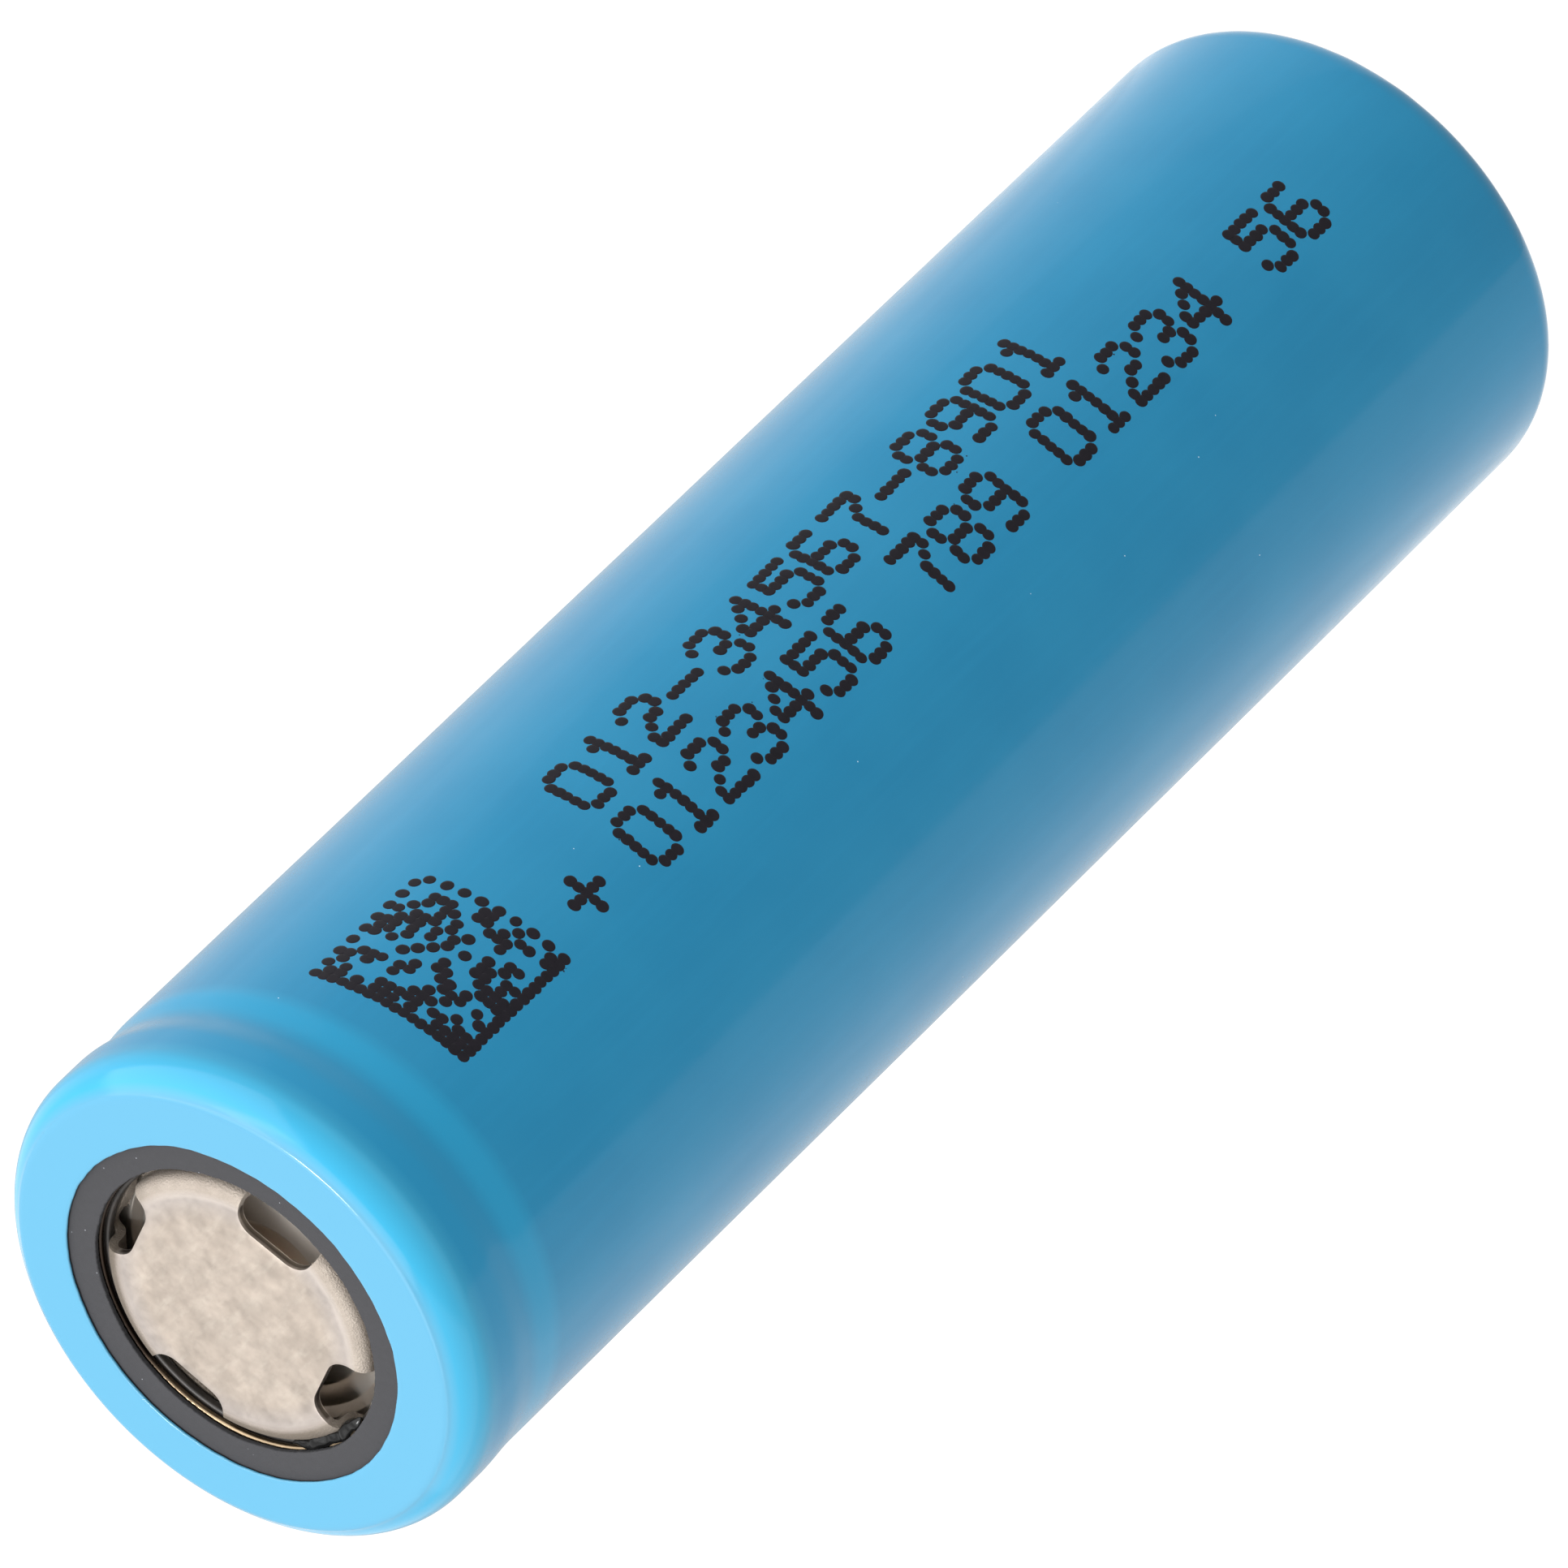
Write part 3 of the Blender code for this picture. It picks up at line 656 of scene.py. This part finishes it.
def build_vent():
    """The rupture disc: a dished sheet with a pressed score ring and a button in the middle."""
    dish, button = VENT_TOP - VENT_DISH_DEPTH, VENT_TOP - VENT_BUTTON_DEPTH
    score = dish - VENT_SCORE_DEPTH
    path = [(0, button), (VENT_BUTTON_RADIUS / 3, button)]
    path += arc((VENT_BUTTON_RADIUS, button + 0.2), (0.2, 0.2), -90, -45, 3)
    path += arc((VENT_DISH_START, dish - 0.1), (0.1, 0.1), 135, 90, 3)
    path += [(VENT_DISH_START + 0.7, dish), (VENT_SCORE_RADIUS - 0.15, dish)]
    path += [(VENT_SCORE_RADIUS - 0.05, score), (VENT_SCORE_RADIUS + 0.05, score)]
    path += [(VENT_SCORE_RADIUS + 0.15, dish)]
    path += arc((VENT_DISH_END, dish + 0.15), (0.15, 0.15), -90, -40, 3)
    path += arc((VENT_RIM_START, VENT_TOP - 0.12), (0.12, 0.12), 140, 90, 3)
    path += [(6.5, VENT_TOP), (VENT_RADIUS, VENT_TOP)]
    inside = offset_path(path, VENT_SHEET)
    inside[0] = (0, inside[0][1])
    return revolve("vent_shell", path + inside[::-1], segments=240)


def uneven(spot, depth):
    """A smooth random value at a spot, from about -depth to depth."""
    return depth * noise.noise(Vector(spot))


def sealant_section(share):
    """The points round the string of sealant, at a share of its way."""
    angle = math.radians(SEALANT_START + SEALANT_SWEEP * share)
    lump = SEALANT_SIZE + uneven((share * 5, 2.0, 0), 0.13) + uneven((share * 9, 7.0, 0), 0.04)
    size = max(0.004, lump * min(1.0, 5 * share, 6 * (1 - share)) ** 0.6)
    centre = SEALANT_RADIUS + uneven((share * 7, 0, 4.0), 0.1)
    height = SEALANT_HEIGHT + uneven((share * 8, 0, 1.0), 0.08)
    section = []
    for side in range(SEALANT_SIDES):
        turn = 2 * math.pi * side / SEALANT_SIDES
        crease = 1 + uneven((math.cos(turn) * 1.6, math.sin(turn) * 1.6, share * 6), 0.3)
        radius = centre + 1.15 * size * crease * math.cos(turn)
        section.append(round_point(radius, angle, height + 0.8 * size * crease * math.sin(turn)))
    return section


def build_sealant():
    """Black sealant squeezed out of the crimp: a lumpy string between crimp and cap."""
    points, faces = [], []
    for step in range(SEALANT_STEPS + 1):
        points += sealant_section(step / SEALANT_STEPS)
    for start in range(0, SEALANT_STEPS * SEALANT_SIDES, SEALANT_SIDES):
        for side in range(SEALANT_SIDES):
            here, after = start + side, start + (side + 1) % SEALANT_SIDES
            faces.append((here, after, after + SEALANT_SIDES, here + SEALANT_SIDES))
    faces.append(tuple(range(SEALANT_SIDES))[::-1])
    faces.append(tuple(SEALANT_STEPS * SEALANT_SIDES + side for side in range(SEALANT_SIDES)))
    return finish_mesh("sealant_bead", new_mesh("sealant_bead", points, faces), 180)


# --------------------------------------------------------------- materials


def new_material(name, colour, roughness, metallic=0.0, ior=1.45):
    """A Principled material, with its node tree and its shader."""
    made = bpy.data.materials.new(name)
    made.use_nodes = True
    shader = made.node_tree.nodes["Principled BSDF"]
    shader.inputs["Base Color"].default_value = (*colour, 1)
    shader.inputs["Roughness"].default_value = roughness
    shader.inputs["Metallic"].default_value = metallic
    shader.inputs["IOR"].default_value = ior
    return made, made.node_tree, shader


def add_node(tree, kind, sources=None, **values):
    """A node with input values by name (underscores for spaces) and sources linked by input name."""
    made = tree.nodes.new(kind)
    for name, value in values.items():
        label = name.replace("_", " ")
        if label in made.inputs:
            made.inputs[label].default_value = value
        else:
            setattr(made, name, value)
    for name, source in (sources or {}).items():
        tree.links.new(source, made.inputs[name])
    return made


def place(tree, stretch=(1, 1, 1)):
    """Object coordinates in millimetres, stretched."""
    where = add_node(tree, "ShaderNodeTexCoord").outputs["Object"]
    scale = tuple(factor / MM for factor in stretch)
    return add_node(tree, "ShaderNodeMapping", {"Vector": where}, Scale=scale).outputs[0]


def coordinate(tree, axis):
    """The X, Y or Z coordinate in millimetres."""
    return add_node(tree, "ShaderNodeSeparateXYZ", {"Vector": place(tree)}).outputs[axis]


def cloud(tree, where, per_mm, detail=3.0, roughness=0.5):
    """Noise from about 0.25 to 0.75, with so many clouds to a millimetre."""
    made = add_node(tree, "ShaderNodeTexNoise", {"Vector": where}, Scale=per_mm, Detail=detail)
    made.inputs["Roughness"].default_value = roughness
    return made.outputs["Fac"]


def ramp(tree, factor, low, high, start, end):
    """Factor mapped from low..high to start..end, and held there."""
    made = add_node(tree, "ShaderNodeMapRange", {"Value": factor})
    for name, value in (("From Min", low), ("From Max", high), ("To Min", start), ("To Max", end)):
        made.inputs[name].default_value = value
    return made.outputs["Result"]


def product(tree, first, second):
    return add_node(tree, "ShaderNodeMath", {0: first, 1: second}, operation="MULTIPLY").outputs[0]


def mixed(tree, factor, first, second):
    """A colour between two colours. Either may be another node's output."""
    made = add_node(tree, "ShaderNodeMix", data_type="RGBA")
    tree.links.new(factor, made.inputs["Factor"])
    for socket, colour in ((made.inputs[6], first), (made.inputs[7], second)):
        if isinstance(colour, tuple):
            socket.default_value = (*colour, 1)
        else:
            tree.links.new(colour, socket)
    return made.outputs[2]


def bumped(tree, shader, height, distance, strength=1.0):
    """Bump from a height factor. distance is the height's depth in millimetres."""
    bump = add_node(tree, "ShaderNodeBump", {"Height": height}, Strength=strength, Distance=distance * MM)
    tree.links.new(bump.outputs[0], shader.inputs["Normal"])


def specks(tree, where, per_mm, size, share):
    """1 on small round specks and 0 between them. share is how many of the cells hold one."""
    cells = add_node(tree, "ShaderNodeTexVoronoi", {"Vector": where}, Scale=per_mm)
    dot = ramp(tree, cells.outputs["Distance"], size * 0.6, size, 1, 0)
    split = add_node(tree, "ShaderNodeSeparateColor", {"Color": cells.outputs["Color"]})
    chosen = add_node(tree, "ShaderNodeMath", {0: split.outputs[0]}, operation="LESS_THAN")
    chosen.inputs[1].default_value = share
    return product(tree, dot, chosen.outputs[0])


def height_mask(tree, low, high):
    """0 below a height in millimetres and 1 above another."""
    return ramp(tree, coordinate(tree, "Z"), low, high, 0, 1)


def rim_mask(tree, inner, outer):
    """0 inside a radius in millimetres and 1 outside another."""
    flat = add_node(tree, "ShaderNodeVectorMath", {0: place(tree)}, operation="MULTIPLY")
    flat.inputs[1].default_value = (1, 1, 0)
    length = add_node(tree, "ShaderNodeVectorMath", {0: flat.outputs[0]}, operation="LENGTH")
    return ramp(tree, length.outputs["Value"], inner, outer, 0, 1)


# The film's painted light and shade toward the positive end, each over the one before: a painted
# highlight on the bead's upward flank, painted shade in its groove, and painted light from above on
# the shoulder and the end face. Each gives the distances from that end where it starts and where it
# has taken over, and its colour
FILM_LIGHT_AND_SHADE_BANDS = (
    (5.5, 4.9, (0.005, 0.198, 0.352)),
    (4.2, 3.6, (0.003, 0.168, 0.312)),
    (1.95, 1.1, (0.021, 0.229, 0.371)),
    (0.3, 0.03, (0.061, 0.208, 0.313)),
)


def film_material():
    """Glossy shrink film, paler over the shoulder and the positive end as painted light from above, with a
    painted highlight and painted shade at its bead.
    """
    made, tree, shader = new_material("blue_shrink_film", (0.003, 0.185, 0.35), 0.15, ior=1.38)
    where = place(tree)
    patches = ramp(tree, cloud(tree, where, 0.22, 2.0), 0.35, 0.65, 0, 1)
    tone = mixed(tree, patches, (0.002, 0.156, 0.294), (0.004, 0.167, 0.307))
    flow = cloud(tree, place(tree, (1, 1, 0.05)), 3.0, 4.0)
    tone = mixed(tree, ramp(tree, flow, 0.45, 0.75, 0, 0.25), tone, (0.006, 0.182, 0.34))
    # painted light and shade: each band tints the film by its height
    for start, full, colour in FILM_LIGHT_AND_SHADE_BANDS:
        tone = mixed(tree, height_mask(tree, CELL_LENGTH - start, CELL_LENGTH - full), tone, colour)
    tone = mixed(tree, specks(tree, where, 1.6, 0.04, 0.05), tone, (0.5, 0.65, 0.72))
    tree.links.new(tone, shader.inputs["Base Color"])
    rough = ramp(tree, cloud(tree, where, 2.0, 5.0), 0.3, 0.7, 0.12, 0.19)
    tree.links.new(rough, shader.inputs["Roughness"])
    bumped(tree, shader, cloud(tree, where, 1.5, 4.0, 0.5), 0.006, 0.3)
    return made


def film_edge_material():
    """The film's cut edge, darker than its face as painted shade along the top lip."""
    made, tree, shader = new_material("film_cut_edge", (0.004, 0.05, 0.075), 0.35)
    tone = mixed(tree, cloud(tree, place(tree), 2.0, 4.0), (0.002, 0.02, 0.032), (0.008, 0.075, 0.11))
    tree.links.new(tone, shader.inputs["Base Color"])
    return made


def ink_material():
    """Dull black ink, a little uneven in tone and gloss."""
    made, tree, shader = new_material("black_ink", (0.006, 0.005, 0.008), 0.5, ior=1.22)
    where = place(tree)
    tone = mixed(tree, cloud(tree, where, 2.5, 4.0), (0.003, 0.003, 0.005), (0.009, 0.007, 0.011))
    tree.links.new(tone, shader.inputs["Base Color"])
    rough = ramp(tree, cloud(tree, where, 6.0), 0.3, 0.7, 0.36, 0.5)
    tree.links.new(rough, shader.inputs["Roughness"])
    return made


def fibre_material():
    """Dark grey pressed fibre with a rough face and a few pale specks."""
    made, tree, shader = new_material("grey_fibre", (0.045, 0.048, 0.054), 0.8)
    where = place(tree)
    tone = mixed(tree, cloud(tree, where, 5.0, 6.0, 0.7), (0.0135, 0.0133, 0.0153), (0.022, 0.0222, 0.0253))
    tone = mixed(tree, specks(tree, where, 4.0, 0.1, 0.06), tone, (0.22, 0.23, 0.25))
    tree.links.new(tone, shader.inputs["Base Color"])
    bumped(tree, shader, cloud(tree, where, 14.0, 8.0, 0.75), 0.03, 0.6)
    return made


def cap_tone(tree, where, edge):
    """Cloudy warm patches, faint streaks, a cooler rim, a crust on the edge darkened toward +Y as painted
    shade, and window walls darkened as painted shade.
    """
    patches = ramp(tree, cloud(tree, where, 0.9, 5.0, 0.6), 0.38, 0.62, 0, 1)
    tone = mixed(tree, patches, (0.40, 0.343, 0.293), (0.46, 0.397, 0.34))
    streaks = cloud(tree, place(tree, (1.8, 0.5, 1)), 1.2, 6.0, 0.7)
    tone = mixed(tree, ramp(tree, streaks, 0.5, 0.7, 0, 0.5), tone, (0.53, 0.475, 0.41))
    tone = mixed(tree, rim_mask(tree, 3.6, 4.9), tone, (0.40, 0.365, 0.35))
    # painted shade: the edge darkens toward the +Y side
    far_side_shade = ramp(tree, coordinate(tree, "Y"), -1.5, 1.5, 0, 1)
    tone = mixed(tree, edge, tone, mixed(tree, far_side_shade, (0.35, 0.31, 0.27), (0.17, 0.145, 0.12)))
    # painted shade: the windows' walls, between the sheet's faces, are darkened
    sheet_bottom = CAP_TOP - CAP_SHEET
    window_wall_shade = product(
        tree,
        ramp(tree, coordinate(tree, "Z"), CAP_TOP - 0.14, CAP_TOP - 0.05, 1, 0),
        height_mask(tree, sheet_bottom, sheet_bottom + 0.04),
    )
    window_wall_shade = product(tree, window_wall_shade, rim_mask(tree, 4.65, 4.55))
    return mixed(tree, window_wall_shade, tone, (0.09, 0.075, 0.062))


def cap_material():
    """Satin nickel plate, duller and sandy round its edge."""
    made, tree, shader = new_material("cloudy_nickel", (0.7, 0.62, 0.52), 0.4, metallic=1.0)
    where = place(tree)
    edge = rim_mask(tree, 4.35, 4.75)
    tree.links.new(cap_tone(tree, where, edge), shader.inputs["Base Color"])
    rough = ramp(tree, cloud(tree, where, 1.5, 6.0, 0.7), 0.3, 0.7, 0.34, 0.5)
    rougher = add_node(tree, "ShaderNodeMath", {0: edge, 2: rough}, operation="MULTIPLY_ADD")
    rougher.inputs[1].default_value = 0.35
    tree.links.new(rougher.outputs[0], shader.inputs["Roughness"])
    grain = cloud(tree, where, 8.0, 6.0, 0.7)
    sand = product(tree, cloud(tree, where, 16.0, 3.0), rim_mask(tree, 4.55, 4.8))
    relief = add_node(tree, "ShaderNodeMath", {0: grain, 1: sand, 2: sand}, operation="MULTIPLY_ADD")
    bumped(tree, shader, relief.outputs[0], 0.04, 0.6)
    return made


def metal_material(name, dark, light, roughness, per_mm=1.5):
    """Plain sheet metal with faint clouds, fine grain and uneven polish."""
    made, tree, shader = new_material(name, light, roughness, metallic=1.0)
    where = place(tree)
    tone = mixed(tree, ramp(tree, cloud(tree, where, per_mm, 5.0, 0.6), 0.35, 0.65, 0, 1), dark, light)
    tree.links.new(tone, shader.inputs["Base Color"])
    polish = cloud(tree, where, per_mm * 3, 6.0, 0.7)
    rough = ramp(tree, polish, 0.3, 0.7, roughness - 0.06, roughness + 0.08)
    tree.links.new(rough, shader.inputs["Roughness"])
    bumped(tree, shader, cloud(tree, where, 10.0, 5.0), 0.006, 0.4)
    return made


def can_material():
    """Nickel-plated steel with painted light on the crimp's cut edge: a golden painted gleam at -X fading
    to painted shade at +X.
    """
    made = metal_material("nickel_plated_steel", (0.56, 0.53, 0.48), (0.68, 0.65, 0.59), 0.3)
    tree = made.node_tree
    tint = tree.nodes["Principled BSDF"].inputs["Base Color"]
    clean = tint.links[0].from_socket
    # painted light: a golden gleam on the crimp's cut edge at -X, fading to painted shade at +X
    across = ramp(tree, coordinate(tree, "X"), -1.5, 1.0, 0, 1)
    crimp_gleam_and_shade = mixed(tree, across, (0.24, 0.18, 0.115), (0.03, 0.022, 0.017))
    lit_crimp_tone = mixed(tree, rim_mask(tree, 5.5, 5.8), crimp_gleam_and_shade, clean)
    tree.links.new(mixed(tree, height_mask(tree, CRIMP_TOP - 2, CRIMP_TOP - 1), clean, lit_crimp_tone), tint)
    return made


def vent_material():
    """Thin aluminium, bright round its rim, brownish in its middle and dulled on the -Y side."""
    made, tree, shader = new_material("vent_aluminium", (0.7, 0.66, 0.6), 0.35, metallic=1.0)
    # browner in its middle than round its rim
    browner_middle = mixed(tree, cloud(tree, place(tree), 1.5, 5.0), (0.56, 0.49, 0.42), (0.72, 0.64, 0.55))
    tone = mixed(tree, rim_mask(tree, 2.3, 2.5), browner_middle, (0.72, 0.67, 0.61))
    tree.links.new(tone, shader.inputs["Base Color"])
    tree.links.new(ramp(tree, coordinate(tree, "Y"), -2.2, -1.6, 0.1, 1), shader.inputs["Metallic"])
    bumped(tree, shader, cloud(tree, place(tree), 10.0, 5.0), 0.01, 0.5)
    return made


def plain_material(name, dark, light, roughness, grain=6.0, ior=1.45):
    """Moulded, pressed or coated stock: two close tones and a fine grain."""
    made, tree, shader = new_material(name, light, roughness, ior=ior)
    where = place(tree)
    tone = mixed(tree, ramp(tree, cloud(tree, where, grain / 3, 4.0), 0.35, 0.65, 0, 1), dark, light)
    tree.links.new(tone, shader.inputs["Base Color"])
    bumped(tree, shader, cloud(tree, where, grain, 6.0, 0.65), 0.01, 0.5)
    return made


def dress(piece, finish):
    piece.data.materials.clear()
    piece.data.materials.append(finish)


# ------------------------------------------------------------------- stage

CAMERA_LENS = 531.54
CAMERA_SENSOR = 36
CAMERA_SPOT = (0, -596.05, 514.08)
CAMERA_AIM = (-0.08, 0, 33.51)
CAMERA_ROLL = -134.04
FLOOR_DROP = 0.02
CARD_HEIGHT = 0.4
CARD_REACH = 140
# Each softbox: its name, the way to it, its distance and width in metres, and its radiance
SOFTBOXES = (
    ("overhead", (0.1, 0.0, 1.0), 1.2, 1.5, 2.0),
    ("right", (0.985, -0.174, 0.45), 1.2, 1.8, 2.0),
    ("left", (-0.985, 0.174, 0.4), 1.2, 1.8, 0.85),
    ("corner_glint", (0.105, 0.028, 0.994), 1.3, 0.28, 62.0),
)


def place_camera():
    """A long lens over the -Y side, rolled so that the positive end points down and left."""
    data = bpy.data.cameras.new("camera")
    data.lens = CAMERA_LENS
    data.sensor_width = CAMERA_SENSOR
    data.clip_start = 0.05
    data.clip_end = 20
    camera = add_object("camera", data)
    spot = Vector(CAMERA_SPOT) * MM
    aim = Vector(CAMERA_AIM) * MM
    camera.location = spot
    camera.rotation_mode = "QUATERNION"
    level = (aim - spot).to_track_quat("-Z", "Y")
    camera.rotation_quaternion = level @ Quaternion((0, 0, 1), math.radians(CAMERA_ROLL))
    bpy.context.scene.camera = camera


def softbox(name, direction, distance, width, radiance):
    """A square area light that faces the cell."""
    data = bpy.data.lights.new(name, "AREA")
    data.shape = "SQUARE"
    data.size = width
    data.energy = radiance * math.pi * width * width
    lamp = add_object(name, data)
    aim = Vector((0, 0, CELL_LENGTH / 2)) * MM
    lamp.location = aim + Vector(direction).normalized() * distance
    lamp.rotation_euler = (aim - lamp.location).to_track_quat("-Z", "Y").to_euler()
    lamp.visible_camera = False


def build_floor():
    """A pale floor that can't be seen from below, so that the negative end can be looked at."""
    shape = bmesh.new()
    bmesh.ops.create_circle(shape, cap_ends=True, segments=96, radius=4.0)
    mesh = bpy.data.meshes.new("floor")
    shape.to_mesh(mesh)
    shape.free()
    floor = add_object("floor", mesh)
    floor.location.z = -FLOOR_DROP * MM
    made, tree, shader = new_material("pale_floor", (0.06, 0.06, 0.06), 0.9)
    shader.inputs["Emission Color"].default_value = (1, 1, 1, 1)
    shader.inputs["Emission Strength"].default_value = 1.0
    clear = add_node(tree, "ShaderNodeBsdfTransparent")
    below = add_node(tree, "ShaderNodeNewGeometry").outputs["Backfacing"]
    sources = {0: below, 1: shader.outputs[0], 2: clear.outputs[0]}
    blend = add_node(tree, "ShaderNodeMixShader", sources)
    tree.links.new(blend.outputs[0], tree.nodes["Material Output"].inputs["Surface"])
    dress(floor, made)


def build_card(name, outline, low, high, first, last):
    """A card on the floor that only the cell's reflections see.

    It goes from a first to a last brightness between two directions from the axis, which are
    degrees round from the -X side by way of -Y.
    """
    points = [(x * MM, y * MM, CARD_HEIGHT * MM) for x, y in outline]
    card = add_object(name, new_mesh(name, points, [range(len(outline))]))
    card.visible_camera = False
    card.visible_shadow = False
    made, tree, shader = new_material(name, (0, 0, 0), 0.9)
    turned = add_node(tree, "ShaderNodeTexGradient", {"Vector": place(tree)}, gradient_type="RADIAL")
    shade = ramp(tree, turned.outputs["Fac"], low / 360, high / 360, first, last)
    shader.inputs["Emission Color"].default_value = (1, 1, 1, 1)
    tree.links.new(shade, shader.inputs["Emission Strength"])
    dress(card, made)


def build_cards():
    """A card in front, and one on either side behind the cell.

    The front card's edge toward -X leaves the sleeve 30 degrees round from -Y and runs along the
    way that the camera's view is mirrored there, so that its reflection is a line along the cell.
    Toward +X the card fades into the floor, as the two behind do away from +Y.
    """
    foot, run = math.radians(-120), math.radians(-150)
    near = (BODY_RADIUS * math.cos(foot), BODY_RADIUS * math.sin(foot))
    far = (near[0] + CARD_REACH * math.cos(run), near[1] + CARD_REACH * math.sin(run))
    front = [near, far, (-40, -CARD_REACH), (CARD_REACH, -CARD_REACH), (60, -9), (BODY_RADIUS, -9)]
    build_card("front_card", front, 90, 130, 0.72, 1.0)
    beside = BODY_RADIUS + 0.2
    right = [(beside, 0), (CARD_REACH, CARD_REACH / 2), (CARD_REACH, CARD_REACH)]
    right += [(0, CARD_REACH), (0, beside)]
    build_card("right_card", right, 210, 270, 1.0, 0.5)
    left = [(-x, y) for x, y in right[::-1]]
    build_card("left_card", left, 270, 330, 0.5, 1.0)


def build_light():
    """A white surround and the softboxes."""
    scene = bpy.context.scene
    scene.view_settings.view_transform = "Standard"
    world = bpy.data.worlds.new("tent")
    scene.world = world
    world.use_nodes = True
    surround = world.node_tree.nodes["Background"]
    surround.inputs["Color"].default_value = (1, 1, 1, 1)
    surround.inputs["Strength"].default_value = 1.0
    for box in SOFTBOXES:
        softbox(*box)


# -------------------------------------------------------------------- main


def put_on(piece, finish, slot, *nodes):
    """Gives a piece its finish and hides the CAD nodes that it stands for. The slot is not used."""
    dress(piece, finish)
    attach(piece, BODY)
    if nodes:
        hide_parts(*nodes)


def dress_hidden_nodes():
    """Finishes of the CAD pieces inside the can, and of the ring under the cap."""
    aluminium = metal_material("aluminium_sheet", (0.70, 0.71, 0.72), (0.82, 0.83, 0.84), 0.3)
    nickel = metal_material("nickel_strip", (0.58, 0.55, 0.50), (0.70, 0.67, 0.61), 0.28)
    tape = plain_material("amber_tape", (0.60, 0.33, 0.05), (0.72, 0.42, 0.08), 0.3, 3.0)
    paper = plain_material("pressed_paper", (0.66, 0.63, 0.52), (0.80, 0.77, 0.66), 0.85, 9.0)
    film = plain_material("porous_film", (0.84, 0.84, 0.82), (0.92, 0.92, 0.90), 0.55, 12.0)
    carbon = plain_material("carbon_polymer", (0.03, 0.03, 0.03), (0.06, 0.06, 0.06), 0.6, 8.0)
    finishes = {
        "ptc_ring": carbon,
        "vent_insulator": plain_material("white_polymer", (0.78, 0.78, 0.75), (0.86, 0.86, 0.83), 0.5),
        "contact_plate": aluminium,
        "positive_tab": aluminium,
        "positive_tab_tape": tape,
        "upper_insulator": paper,
        "lower_insulator": paper,
        "center_pin": nickel,
        "cathode": plain_material("cathode_coating", (0.02, 0.02, 0.022), (0.04, 0.04, 0.044), 0.75, 14.0),
        "anode": plain_material("anode_coating", (0.035, 0.033, 0.03), (0.06, 0.056, 0.05), 0.8, 14.0),
        "separator_inner": film,
        "separator_outer": film,
        "closing_tape": tape,
        "negative_tab": nickel,
        "negative_tab_tape": tape,
    }
    for node, finish in finishes.items():
        dress(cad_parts[node], finish)


def main():
    film = build_sleeve()
    put_on(film, film_material(), "blue_sleeve", "sleeve")
    film.data.materials.append(film_edge_material())
    put_on(build_ink(), ink_material(), "black_ink")
    put_on(build_washer(), fibre_material(), "grey_washer", "top_washer")
    put_on(build_cap(), cap_material(), "cap_nickel", "top_cap")
    put_on(build_can(), can_material(), "nickel_steel", "can")
    black = plain_material("black_gasket", (0.012, 0.0105, 0.009), (0.022, 0.018, 0.015), 0.5)
    put_on(build_gasket(), black, "black_gasket", "gasket")
    put_on(build_vent(), vent_material(), "aluminium", "vent_disc")
    sealant = plain_material("black_sealant", (0.003, 0.003, 0.003), (0.006, 0.006, 0.006), 0.2, 5.0, 1.27)
    put_on(build_sealant(), sealant, "black_gasket")
    dress_hidden_nodes()
    build_floor()
    build_cards()
    build_light()
    place_camera()


main()
